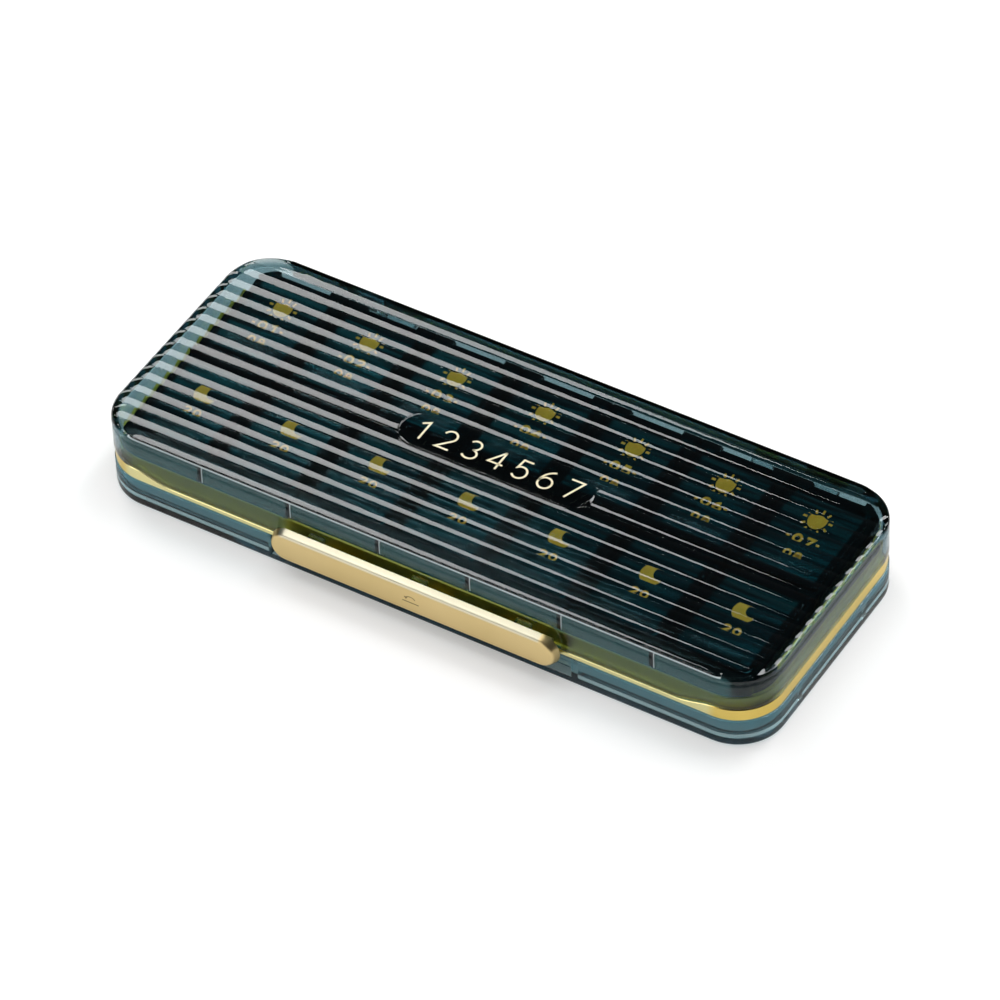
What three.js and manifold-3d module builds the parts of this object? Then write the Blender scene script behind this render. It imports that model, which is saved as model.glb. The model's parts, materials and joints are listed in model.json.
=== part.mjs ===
// Seven-day travel pill box: a clear tub and ribbed lid that close on a gold collar, a flip-up latch bar,
// and seven day boxes, each with a morning lid and an evening lid.
// Millimetres, +Z up. X runs along the case, -Y is the latch side, and the underside lies on Z = 0.

import * as THREE from "three";
import { mergeVertices } from "three/addons/utils/BufferGeometryUtils.js";
import Module from "manifold-3d";

const wasm = await Module();
wasm.setup();

// Driving dimensions of the closed case
const caseLength = 180;
const caseDepth = 70.4;
const caseCorner = 12.2;
const wall = 1.6;
const gap = 0.3;
const pinGap = 0.2;
const overrun = 2;

// Base tub
const floorThickness = 1.6;
const baseRim = 8;
const baseEdgeRadius = 1.2;
const recessMargin = 1.7;
const recessDepth = 2.5;
const recessLedge = 2.3;
const recessWall = 1.3;
const endStopWidth = 1.4;
const endStopHeight = 3.2;
const endStopInset = 20.2;

// Gold collar: a band that shows between tub and lid, on an upstand behind both walls
const collarInset = 0.2;
const collarThickness = 1;
const collarTop = 14.3;
const collarFoot = 6.4;
const tabDrop = 1.2;
const tabWidth = 10.4;

// Outer lid
const lidEdge = 12;
const lidLip = 9.9;
const lipEndInset = 11;
const lipRampLength = 11;
const lidTop = 21.5;
const lidEdgeRadius = 1.2;
const ceiling = 20;
const ceilingRadius = 0.8;
const ribCount = 15;
const ribHeight = 0.5;
const ribValley = 0.2;
const ribMargin = 0.3;
const padLength = 52;
const padDepth = 11.2;
const padRise = 0.8;

// Latch bar and its pin
const barHalfLength = 39;
const barHalfHeight = 4.55;
const barCentre = 10.25;
const barFront = 3.7;
const barThickness = 2.2;
const barEdgeRadius = 0.9;
const barPinDrop = 2.2;
const barPinDepth = 1.1;
const barPinRadius = 0.5;
const barBarrelRadius = 1.3;
const barrelInset = 2.5;
const barBoreEnd = 0.4;
const lugRadius = 1.05;
const lugWidth = 4;
const lugInset = 11;
const pocketMargin = 1.8;
const pocketTop = 17;
const pocketRadius = 5.2;
const pocketDepth = 0.8;
const noseInset = 19;
const noseWidth = 9;
const noseHeight = 1.4;
const noseDrop = 2.2;

// Case hinge
const hingeInset = 32;
const hingeRadius = 1.7;
const hingePinRadius = 0.8;
const knuckleWidth = 7.6;
const baseGusset = 4;
const lidGusset = 4.5;

// Day boxes
const dayCount = 7;
const rowEndMargin = 4.6;
const boxFloor = 1.2;
const boxSideWall = 2.2;
const boxRim = 17;
const flangeInset = 0.4;
const cellCorner = 2.5;
const frontCellWall = 3.7;
const frontCellFar = 1.9;
const backCellNear = 3.3;
const backCellWall = 3.4;
const coreWidth = 2.8;
const coreMargin = 2;
const coreTop = 14;

// Day lids
const plateThickness = 1.1;
const plateMargin = 1.45;
const plateEdge = 0.3;
const smallCorner = 1.2;
const backCorner = 4.2;
const frontCorner = 5.5;
const backLidNear = 2.4;
const backLidInset = 2.3;
const frontLidInset = 2.7;
const frontLidFar = 1;
const plugGap = 0.4;
const plugWall = 0.8;
const plugDepth = 1.4;
const thumbMargin = 3.6;
const thumbRadius = 3.4;
const thumbDepth = 0.45;
const thumbInset = 3;
const lidAxisHeight = 0.2;
const lidAxisOffset = 1.6;
const barrelRadius = 1;
const barrelMargin = 5.25;
const trunnionRadius = 0.5;
const trunnionReach = 1;
const blockFront = 1.1;
const blockBack = 1.3;
const blockRise = 1.2;

// Round stretches: steps in an eighth of a circle for large and small corners, in a fillet, and round a rod
const cornerSteps = 5;
const smallCornerSteps = 2;
const tightCornerSteps = 1;
const filletSteps = 3;
const capSteps = 2;
const ribSteps = 12;
const roundSteps = 16;
const barrelSteps = 12;
const trunnionSteps = 8;

// Places worked out from the sizes above
const halfLength = caseLength / 2;
const halfDepth = caseDepth / 2;
const bandBottom = baseRim + gap;
const bandTop = lidEdge - gap;
const upstandInset = wall + gap;
const ringInset = upstandInset + collarThickness;
const ribPitch = caseDepth / ribCount;
const ribHalfWidth = (ribPitch - ribValley) / 2;
const lipHalfLength = halfLength - lipEndInset - lipRampLength;
const hingeSpacing = halfLength - hingeInset;
const endStopSpacing = halfDepth - endStopInset;
const recessHalfLength = barHalfLength + recessMargin;
const barTop = barCentre + barHalfHeight;
const barFrontY = -(halfDepth + barFront);
const barBackY = barFrontY + barThickness;
const barPinY = -(halfDepth + barPinDepth);
const barPinZ = barTop - barPinDrop;
const barrelHalfLength = barHalfLength - barrelInset;
const barBoreHalfLength = barrelHalfLength - barBoreEnd;
const lugSpacing = barHalfLength - lugInset;
const noseSpacing = barHalfLength - noseInset;
const pocketHalfLength = barrelHalfLength + pocketMargin;
const hingeY = halfDepth + gap + hingeRadius + collarInset;
const hingeZ = (bandBottom + bandTop) / 2;
const dayPitch = (caseLength - rowEndMargin * 2) / dayCount;
const boxWidth = dayPitch - gap;
const boxHalfWidth = boxWidth / 2;
const boxBottom = floorThickness + gap;
const boxFront = halfDepth - recessDepth - recessWall - gap;
const boxBack = halfDepth - ringInset - gap;
const frontCellNear = boxFront - frontCellWall;
const backCellFar = boxBack - backCellWall;
const frontLidNear = boxFront - frontLidInset;
const backLidFar = boxBack - backLidInset;
const flangeBottom = collarTop + gap;
const flangeReach = halfDepth - wall - flangeInset;
const cellHalfWidth = boxHalfWidth - boxSideWall;
const plateHalfWidth = boxHalfWidth - plateMargin;
const thumbHalfWidth = plateHalfWidth - thumbMargin;
const barrelHalfWidth = boxHalfWidth - barrelMargin;
const cellFloor = boxBottom + boxFloor;
const plateBottom = boxRim + gap;
const plateTop = plateBottom + plateThickness;
const lidAxisZ = boxRim + lidAxisHeight;
const backAxisY = backLidFar + lidAxisOffset;
const frontAxisY = -frontLidFar + lidAxisOffset;

const materials = {
  clearTeal: { color: 0x1f4d50, roughness: 0.08, metalness: 0 },
  darkTeal: { color: 0x17393c, roughness: 0.12, metalness: 0 },
  brightGold: { color: 0xc9a850, roughness: 0.25, metalness: 1 },
  satinGold: { color: 0xd0b98a, roughness: 0.4, metalness: 1 },
  steel: { color: 0xb8babb, roughness: 0.3, metalness: 1 },
};

// A closed solid from a geometry whose corners are shared by position alone
function toSolid(geometry) {
  const bare = geometry.clone();
  bare.deleteAttribute("normal");
  bare.deleteAttribute("uv");
  const merged = mergeVertices(bare);
  const vertProperties = new Float32Array(merged.attributes.position.array);
  const triVerts = new Uint32Array(merged.index.array);
  return new wasm.Manifold(new wasm.Mesh({ numProp: 3, vertProperties, triVerts }));
}

function toMesh(solid, name, materialName) {
  const data = solid.getMesh();
  const geometry = new THREE.BufferGeometry();
  geometry.setAttribute("position", new THREE.BufferAttribute(new Float32Array(data.vertProperties), 3));
  geometry.setIndex(new THREE.BufferAttribute(new Uint32Array(data.triVerts), 1));
  geometry.computeVertexNormals();
  const mesh = new THREE.Mesh(geometry, new THREE.MeshStandardMaterial(materials[materialName]));
  mesh.name = name;
  return mesh;
}

function joinAll(solids) {
  return solids.reduce((whole, solid) => whole.add(solid));
}

function block(xRange, yRange, zRange) {
  const size = [xRange, yRange, zRange].map(([low, high]) => high - low);
  const centre = [xRange, yRange, zRange].map(([low, high]) => (low + high) / 2);
  const geometry = new THREE.BoxGeometry(...size);
  geometry.translate(...centre);
  return toSolid(geometry);
}

// A round bar along X
function rodAlongX(xRange, y, z, radius, steps = roundSteps) {
  const [start, end] = xRange;
  const geometry = new THREE.CylinderGeometry(radius, radius, end - start, steps);
  geometry.rotateZ(Math.PI / 2);
  geometry.translate((start + end) / 2, y, z);
  return toSolid(geometry);
}

// A rectangle with its own radius at the two front (-Y) and the two back (+Y) corners
function roundedOutline(xRange, yRange, frontRadius, backRadius) {
  const [left, right] = xRange;
  const [front, back] = yRange;
  const outline = new THREE.Shape();
  outline.absarc(right - frontRadius, front + frontRadius, frontRadius, -Math.PI / 2, 0);
  outline.absarc(right - backRadius, back - backRadius, backRadius, 0, Math.PI / 2);
  outline.absarc(left + backRadius, back - backRadius, backRadius, Math.PI / 2, Math.PI);
  outline.absarc(left + frontRadius, front + frontRadius, frontRadius, Math.PI, Math.PI * 1.5);
  outline.closePath();
  return outline;
}

// The case outline drawn in by an inset, with the corners keeping one centre
function caseOutline(inset) {
  const radius = caseCorner - inset;
  const x = halfLength - inset;
  const y = halfDepth - inset;
  return roundedOutline([-x, x], [-y, y], radius, radius);
}

// A prism over a plan outline, with rounded edges at both ends where edgeRadius is above zero
function prism(outline, bottom, top, edgeRadius = 0, steps = cornerSteps, edgeSteps = filletSteps) {
  const options = { depth: top - bottom, curveSegments: steps, bevelEnabled: false };
  if (edgeRadius > 0) {
    options.depth -= edgeRadius * 2;
    options.bevelEnabled = true;
    options.bevelThickness = edgeRadius;
    options.bevelSize = edgeRadius;
    options.bevelOffset = -edgeRadius;
    options.bevelSegments = edgeSteps;
  }
  const geometry = new THREE.ExtrudeGeometry(outline, options);
  geometry.translate(0, 0, bottom + edgeRadius);
  return toSolid(geometry);
}

// A prism along X over an outline drawn in the YZ plane
function prismAlongX(outline, xRange) {
  const [start, end] = xRange;
  const geometry = new THREE.ExtrudeGeometry(outline, {
    depth: end - start,
    curveSegments: cornerSteps,
    bevelEnabled: false,
  });
  geometry.applyMatrix4(new THREE.Matrix4().set(0, 0, 1, start, 1, 0, 0, 0, 0, 1, 0, 0, 0, 0, 0, 1));
  return toSolid(geometry);
}

// A prism along Y over an outline drawn in the XZ plane, from its front face back to its back face
function prismAlongY(outline, front, back, edgeRadius = 0) {
  const solid = prism(outline, 0, back - front, edgeRadius);
  return solid.rotate([90, 0, 0]).translate([0, back, 0]);
}

// A long slot shape with round ends, drawn about its own centre height
function slotOutline(halfWidth, radius, centre) {
  return roundedOutline([-halfWidth, halfWidth], [centre - radius, centre + radius], radius, radius);
}

// The lower edge of the lid's front wall, raised by an amount: low in the middle, ramping up at both ends
function lipRegion(rise) {
  const outer = halfLength + overrun;
  const rampEnd = lipHalfLength + lipRampLength;
  const rampMiddle = (lipHalfLength + rampEnd) / 2;
  const region = new THREE.Shape();
  region.moveTo(-outer, lidLip - overrun);
  region.lineTo(outer, lidLip - overrun);
  region.lineTo(outer, lidEdge + rise);
  region.lineTo(rampEnd, lidEdge + rise);
  region.bezierCurveTo(rampMiddle, lidEdge + rise, rampMiddle, lidLip + rise, lipHalfLength, lidLip + rise);
  region.lineTo(-lipHalfLength, lidLip + rise);
  region.bezierCurveTo(-rampMiddle, lidLip + rise, -rampMiddle, lidEdge + rise, -rampEnd, lidEdge + rise);
  region.lineTo(-outer, lidEdge + rise);
  region.closePath();
  return region;
}

// Everything in front of the lid wall's inner face, below its lower edge lowered by a clearance
function belowLip(clearance) {
  const back = -(halfDepth - upstandInset - collarThickness / 2);
  return prismAlongY(lipRegion(-clearance), -(halfDepth + overrun), back);
}

// Tub: floor and wall in one, a finger recess behind the latch bar, and stops that hold the row of boxes
function baseTray() {
  const outer = prism(caseOutline(0), 0, baseRim + overrun, baseEdgeRadius)
    .subtract(block([-caseLength, caseLength], [-caseDepth, caseDepth], [baseRim, baseRim + overrun * 2]));
  const inner = prism(caseOutline(wall), floorThickness, baseRim + overrun);
  const recessBack = -(halfDepth - recessDepth);
  const recessShell = block(
    [-recessHalfLength - recessWall, recessHalfLength + recessWall],
    [-(halfDepth - wall / 2), recessBack + recessWall],
    [floorThickness / 2, baseRim],
  );
  const recess = block(
    [-recessHalfLength, recessHalfLength],
    [-(halfDepth + overrun), recessBack],
    [recessLedge, baseRim + overrun],
  );
  return joinAll([outer.subtract(inner), recessShell, ...endStops(), ...baseKnuckles()])
    .subtract(recess)
    .subtract(hingeBores());
}

// Low ribs on the floor beside the first and the last box
function endStops() {
  const rowEnd = (dayPitch * dayCount - gap) / 2;
  const stops = [];
  for (const side of [-1, 1]) {
    for (const place of [-endStopSpacing, endStopSpacing]) {
      const x = [side * (rowEnd + gap), side * (halfLength - wall / 2)].sort((a, b) => a - b);
      const y = [place - endStopWidth / 2, place + endStopWidth / 2];
      stops.push(block(x, y, [floorThickness / 2, floorThickness + endStopHeight]));
    }
  }
  return stops;
}

// Case hinge: at each place one lid knuckle turns between two base knuckles
function knuckleRanges(centre) {
  const inner = knuckleWidth / 2;
  const outer = inner + gap;
  return {
    lid: [centre - inner, centre + inner],
    base: [
      [centre - outer - knuckleWidth, centre - outer],
      [centre + outer, centre + outer + knuckleWidth],
    ],
    pin: [centre - outer - knuckleWidth, centre + outer + knuckleWidth],
  };
}

function baseKnuckles() {
  const wallY = halfDepth - wall / 2;
  const outline = new THREE.Shape();
  outline.moveTo(wallY, baseRim - baseGusset);
  outline.lineTo(hingeY + hingeRadius, hingeZ);
  outline.absarc(hingeY, hingeZ, hingeRadius, 0, Math.PI);
  outline.lineTo(hingeY - hingeRadius, baseRim);
  outline.lineTo(wallY, baseRim);
  outline.closePath();
  const ranges = [-hingeSpacing, hingeSpacing].flatMap((centre) => knuckleRanges(centre).base);
  return ranges.map((range) => prismAlongX(outline, range));
}

function lidKnuckles() {
  const wallY = halfDepth - wall / 2;
  const outline = new THREE.Shape();
  outline.moveTo(wallY, lidEdge);
  outline.lineTo(hingeY - hingeRadius, lidEdge);
  outline.absarc(hingeY, hingeZ, hingeRadius, Math.PI, Math.PI * 2);
  outline.lineTo(wallY, lidEdge + lidGusset);
  outline.closePath();
  return [-hingeSpacing, hingeSpacing].map((centre) => prismAlongX(outline, knuckleRanges(centre).lid));
}

function hingeBores() {
  const bores = [-hingeSpacing, hingeSpacing].map((centre) => {
    const [start, end] = knuckleRanges(centre).pin;
    return rodAlongX([start - overrun, end + overrun], hingeY, hingeZ, hingePinRadius + pinGap);
  });
  return joinAll(bores);
}

function hingePin(centre) {
  return rodAlongX(knuckleRanges(centre).pin, hingeY, hingeZ, hingePinRadius);
}

// Collar: the band, the upstand behind the lid wall and the foot with its tabs behind the base wall
function trimCollar() {
  const band = prism(caseOutline(collarInset), bandBottom, bandTop).subtract(frontLedge());
  const upstand = prism(caseOutline(upstandInset), collarFoot, collarTop);
  const middle = prism(caseOutline(ringInset), collarFoot - overrun - tabDrop, collarTop + overrun);
  const clearOfRecess = block(
    [-recessHalfLength - recessWall - gap, recessHalfLength + recessWall + gap],
    [-(halfDepth + overrun), -(halfDepth - ringInset - overrun)],
    [collarFoot - overrun - tabDrop, bandBottom],
  );
  return joinAll([band, upstand, ...collarTabs()]).subtract(middle).subtract(clearOfRecess);
}

// What the front of the band leaves free, so that the lid's low front lip closes over it
function frontLedge() {
  const above = block(
    [-caseLength, caseLength],
    [-(halfDepth + overrun), -(halfDepth - upstandInset)],
    [lidLip - gap, bandTop + overrun],
  );
  return above.subtract(belowLip(gap));
}

function collarTabs() {
  const tabs = [];
  const outerFace = halfDepth - upstandInset;
  const innerFace = halfDepth - ringInset;
  for (let day = 0; day < dayCount; day += 1) {
    const x = [dayCentre(day) - tabWidth / 2, dayCentre(day) + tabWidth / 2];
    const z = [collarFoot - tabDrop, collarFoot + tabDrop];
    tabs.push(block(x, [innerFace, outerFace], z));
    tabs.push(block(x, [-outerFace, -innerFace], z));
  }
  return tabs;
}

// Lid: a deep clear cover with ribs along its top, a flat pad among them and lugs for the latch bar
function outerLid() {
  const shell = prism(caseOutline(0), lidLip - overrun, lidTop, lidEdgeRadius);
  const hollow = prism(caseOutline(wall), lidLip - overrun * 2, ceiling, ceilingRadius);
  const sides = block(
    [-caseLength, caseLength],
    [-(halfDepth - upstandInset), caseDepth],
    [lidLip - overrun * 2, lidEdge],
  );
  const cover = shell.subtract(hollow).subtract(sides).subtract(belowLip(0)).subtract(latchPocket());
  return joinAll([cover, lidRibs(), lidPad(), latchLugs(), ...lidKnuckles()])
    .subtract(latchBore())
    .subtract(hingeBores());
}

// Each rib is a long capsule sunk to half its height, so that its ends are round in plan and in section
function lidRib(index) {
  const y = (index - (ribCount - 1) / 2) * ribPitch;
  const cornerY = Math.max(0, Math.abs(y) - (halfDepth - caseCorner));
  const room = caseCorner - ribMargin - ribHalfWidth;
  const reach = halfLength - caseCorner + Math.sqrt(Math.max(0, room * room - cornerY * cornerY));
  const geometry = new THREE.CapsuleGeometry(ribHalfWidth, reach * 2, capSteps, ribSteps);
  geometry.rotateZ(Math.PI / 2);
  geometry.scale(1, 1, ribHeight / ribHalfWidth);
  geometry.translate(0, y, lidTop);
  return toSolid(geometry);
}

function lidRibs() {
  const ribs = [];
  for (let index = 0; index < ribCount; index += 1) {
    ribs.push(lidRib(index));
  }
  const within = prism(caseOutline(ribMargin / 2), lidTop - ribHeight * 2, lidTop + ribHeight * 2);
  return joinAll(ribs).intersect(within);
}

function lidPad() {
  return prism(slotOutline(padLength / 2, padDepth / 2, 0), ceiling, lidTop + padRise);
}

// A shallow pocket in the lid's front wall that the latch bar's barrel turns in
function latchPocket() {
  const outline = slotOutline(pocketHalfLength, pocketRadius, pocketTop - pocketRadius);
  return prismAlongY(outline, -(halfDepth + overrun), -(halfDepth - pocketDepth));
}

function lugPlaces() {
  return [-lugSpacing, 0, lugSpacing];
}

function latchLugs() {
  const root = -(halfDepth - wall + gap);
  const lugs = lugPlaces().flatMap((x) => {
    const range = [x - lugWidth / 2, x + lugWidth / 2];
    const arm = block(range, [barPinY, root], [barPinZ - lugRadius, barPinZ + lugRadius]);
    return [arm, rodAlongX(range, barPinY, barPinZ, lugRadius)];
  });
  return joinAll(lugs);
}

function latchBore() {
  return rodAlongX([-barHalfLength, barBoreHalfLength], barPinY, barPinZ, barPinRadius + pinGap);
}

// Latch bar: a long slab with a rounded front edge, a barrel that turns on the pin and two noses
function latchBar() {
  const slab = prismAlongY(slotOutline(barHalfLength, barHalfHeight, barCentre), barFrontY,
    barBackY + overrun, barEdgeRadius);
  const behind = block([-caseLength, caseLength], [barBackY, barBackY + overrun * 2], [0, barTop + overrun]);
  const barrel = rodAlongX([-barrelHalfLength, barrelHalfLength], barPinY, barPinZ, barBarrelRadius);
  const bar = joinAll([slab.subtract(behind), barrel, ...latchNoses()]);
  return bar.subtract(lugSlots()).subtract(latchBore());
}

// Room for the lid's lugs, open to the back so that the bar can swing up past them
function lugSlots() {
  const clearRadius = lugRadius + gap;
  const slots = lugPlaces().flatMap((x) => {
    const half = lugWidth / 2 + gap;
    const range = [x - half, x + half];
    const open = block(range, [barBackY, barPinY + overrun], [barPinZ - clearRadius, barTop + overrun]);
    return [open, rodAlongX(range, barPinY, barPinZ, clearRadius)];
  });
  return joinAll(slots);
}

function latchNoses() {
  const top = bandBottom - gap;
  const root = barBackY - barThickness / 2;
  const tip = -(halfDepth - collarInset + gap);
  const outline = new THREE.Shape();
  outline.moveTo(root, top - noseDrop);
  outline.lineTo(tip, top - noseHeight);
  outline.lineTo(tip, top);
  outline.lineTo(root, top);
  outline.closePath();
  return [-noseSpacing, noseSpacing].map((x) =>
    prismAlongX(outline, [x - noseWidth / 2, x + noseWidth / 2]));
}

function latchPin() {
  const half = barBoreHalfLength - gap;
  return rodAlongX([-half, half], barPinY, barPinZ, barPinRadius);
}

// Day boxes stand side by side along X
function dayCentre(day) {
  return (day - (dayCount - 1) / 2) * dayPitch;
}

function cell(near, far) {
  const outline = roundedOutline([-cellHalfWidth, cellHalfWidth], [near, far], cellCorner, cellCorner);
  return prism(outline, cellFloor, boxRim + overrun, 0, smallCornerSteps);
}

// The two blocks beside a lid's barrel, with the notch between them that the barrel turns in
function hingeBlocks(axisY) {
  const back = axisY + blockBack;
  const blocks = block([-boxHalfWidth, boxHalfWidth], [axisY - blockFront, back],
    [boxRim - gap, boxRim + blockRise]);
  return blocks;
}

function hingeNotch(axisY) {
  const half = barrelHalfWidth + gap;
  const notch = block([-half, half], [axisY - blockFront - gap, axisY + blockBack + overrun],
    [lidAxisZ - barrelRadius - gap, boxRim + blockRise + overrun]);
  const socketReach = half + trunnionReach;
  const bore = trunnionRadius + pinGap;
  const sockets = rodAlongX([-socketReach, socketReach], axisY, lidAxisZ, bore, trunnionSteps);
  return notch.add(sockets);
}

// The notch for the front lid's barrel stops short of the back lid, so it is closed behind
function middleNotch() {
  const half = barrelHalfWidth + gap;
  const notch = block([-half, half], [frontAxisY - blockFront - gap, frontAxisY + blockBack + gap],
    [lidAxisZ - barrelRadius - gap, boxRim + blockRise + overrun]);
  const socketReach = half + trunnionReach;
  const bore = trunnionRadius + pinGap;
  const sockets = rodAlongX([-socketReach, socketReach], frontAxisY, lidAxisZ, bore, trunnionSteps);
  return notch.add(sockets);
}

// The space inside collar and lid that the row of boxes fills
function nest() {
  const low = prism(caseOutline(ringInset + gap), boxBottom - overrun, flangeBottom + gap);
  const high = prism(caseOutline(wall + flangeInset), flangeBottom, plateTop + overrun);
  return low.add(high);
}

function dayBox(day) {
  const x = [-boxHalfWidth, boxHalfWidth];
  const body = block(x, [-boxFront, boxBack], [boxBottom, flangeBottom + gap]);
  const flange = block(x, [-flangeReach, flangeReach], [flangeBottom, boxRim]);
  const middle = (backCellNear - frontCellFar) / 2;
  const core = block([-boxHalfWidth + coreMargin, boxHalfWidth - coreMargin],
    [middle - coreWidth / 2, middle + coreWidth / 2], [boxBottom - overrun, coreTop]);
  return joinAll([body, flange, hingeBlocks(backAxisY), hingeBlocks(frontAxisY)])
    .subtract(cell(backCellNear, backCellFar))
    .subtract(cell(-frontCellNear, -frontCellFar))
    .subtract(core)
    .subtract(hingeNotch(backAxisY))
    .subtract(middleNotch())
    .intersect(nest().translate([-dayCentre(day), 0, 0]));
}

// A day lid: plate, plug rim, thumb groove, and the barrel with its trunnions behind the plate
function dayLid(yRange, frontRadius, backRadius, cellRange) {
  const [near, far] = yRange;
  const axisY = far + lidAxisOffset;
  const outline = roundedOutline([-plateHalfWidth, plateHalfWidth], yRange, frontRadius, backRadius);
  const plate = prism(outline, plateBottom, plateTop, plateEdge, smallCornerSteps, tightCornerSteps);
  const arm = block([-barrelHalfWidth, barrelHalfWidth], [far - backRadius, axisY],
    [plateBottom, lidAxisZ + barrelRadius]);
  const barrel = rodAlongX([-barrelHalfWidth, barrelHalfWidth], axisY, lidAxisZ, barrelRadius, barrelSteps);
  const pinEnd = barrelHalfWidth + trunnionReach;
  const trunnions = rodAlongX([-pinEnd, pinEnd], axisY, lidAxisZ, trunnionRadius, trunnionSteps);
  const grooveZ = plateTop + thumbRadius - thumbDepth;
  const groove = rodAlongX([-thumbHalfWidth, thumbHalfWidth], near + thumbInset, grooveZ, thumbRadius);
  return joinAll([plate, plugRim(cellRange), arm, barrel, trunnions]).subtract(groove);
}

// The rim under a lid that drops into its cell
function plugRim(cellRange) {
  const [near, far] = cellRange;
  const half = cellHalfWidth - plugGap;
  const outerRadius = cellCorner - plugGap;
  const outer = roundedOutline([-half, half], [near + plugGap, far - plugGap], outerRadius, outerRadius);
  const inset = plugGap + plugWall;
  const innerHalf = cellHalfWidth - inset;
  const innerRadius = cellCorner - inset;
  const inner = roundedOutline([-innerHalf, innerHalf], [near + inset, far - inset], innerRadius, innerRadius);
  const bottom = boxRim - plugDepth;
  return prism(outer, bottom, plateBottom + plateThickness / 2, 0, tightCornerSteps)
    .subtract(prism(inner, bottom - overrun, plateBottom, 0, tightCornerSteps));
}

function backLid() {
  return dayLid([backLidNear, backLidFar], smallCorner, backCorner, [backCellNear, backCellFar]);
}

function frontLid() {
  return dayLid([-frontLidNear, -frontLidFar], frontCorner, smallCorner, [-frontCellNear, -frontCellFar]);
}

// One day: its box with the morning lid at the back and the evening lid at the front
function dayGroup(day, backLidSolid, frontLidSolid) {
  const number = day + 1;
  const group = new THREE.Group();
  group.add(toMesh(dayBox(day), `day_box_${number}`, "darkTeal"));
  group.add(toMesh(backLidSolid, `morning_lid_${number}`, "darkTeal"));
  group.add(toMesh(frontLidSolid, `evening_lid_${number}`, "darkTeal"));
  group.position.x = dayCentre(day);
  return group;
}

function pillBox() {
  const box = new THREE.Group();
  box.name = "travel_pill_box";
  box.add(toMesh(baseTray(), "base_tray", "clearTeal"));
  box.add(toMesh(trimCollar(), "trim_collar", "brightGold"));
  box.add(toMesh(outerLid(), "outer_lid", "clearTeal"));
  box.add(toMesh(latchBar(), "latch_bar", "satinGold"));
  box.add(toMesh(latchPin(), "latch_pin", "steel"));
  box.add(toMesh(hingePin(-hingeSpacing), "hinge_pin_left", "steel"));
  box.add(toMesh(hingePin(hingeSpacing), "hinge_pin_right", "steel"));
  const back = backLid();
  const front = frontLid();
  for (let day = 0; day < dayCount; day += 1) {
    box.add(dayGroup(day, back, front));
  }
  return box;
}

export default pillBox();
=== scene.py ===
"""Seven-day travel pill box in clear teal plastic: fine surfaces, finishes, prints, camera and light.

Sizes are in millimetres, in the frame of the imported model. Only the lamps and the reach of the table's glow
are in metres, and so are the meshes that are written.
"""

from __future__ import annotations

import json
import logging
import math
from dataclasses import dataclass
from enum import Enum
from typing import Any, Callable, Sequence, Union

import bmesh
import bpy
import numpy as np
from mathutils import Matrix, Vector

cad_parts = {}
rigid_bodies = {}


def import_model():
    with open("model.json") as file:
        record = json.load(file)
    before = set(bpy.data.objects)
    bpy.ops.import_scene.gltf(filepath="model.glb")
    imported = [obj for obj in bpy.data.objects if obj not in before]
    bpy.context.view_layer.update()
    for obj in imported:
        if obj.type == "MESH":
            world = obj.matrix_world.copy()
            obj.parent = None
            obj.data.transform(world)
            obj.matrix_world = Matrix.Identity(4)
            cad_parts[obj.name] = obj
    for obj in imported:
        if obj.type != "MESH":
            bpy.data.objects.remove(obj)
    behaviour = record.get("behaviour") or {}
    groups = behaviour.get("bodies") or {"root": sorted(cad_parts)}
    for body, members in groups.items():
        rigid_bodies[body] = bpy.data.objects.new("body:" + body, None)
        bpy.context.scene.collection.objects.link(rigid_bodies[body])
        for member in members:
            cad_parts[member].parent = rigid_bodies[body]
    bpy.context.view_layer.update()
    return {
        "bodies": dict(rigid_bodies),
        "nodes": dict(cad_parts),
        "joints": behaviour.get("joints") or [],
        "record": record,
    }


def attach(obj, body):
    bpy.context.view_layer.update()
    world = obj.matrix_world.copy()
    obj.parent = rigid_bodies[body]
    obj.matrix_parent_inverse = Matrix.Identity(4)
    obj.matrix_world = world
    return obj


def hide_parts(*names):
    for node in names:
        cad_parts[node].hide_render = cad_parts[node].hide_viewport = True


MM = 0.001
LOG = logging.getLogger("pill_box")
Colour = tuple[float, float, float]
Span = tuple[float, float]
Number = Union[float, np.ndarray]
SHARPEST = 0.35


class Slot(str, Enum):
    """Material slots of the record."""

    CLEAR = "clear_teal"
    DARK = "dark_teal"
    BRIGHT = "bright_gold"
    SATIN = "satin_gold"
    STEEL = "steel"


class Half(Enum):
    """The two halves of a day: the row of lids and the sign that is printed on them."""

    MORNING = "morning"
    EVENING = "evening"


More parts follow.
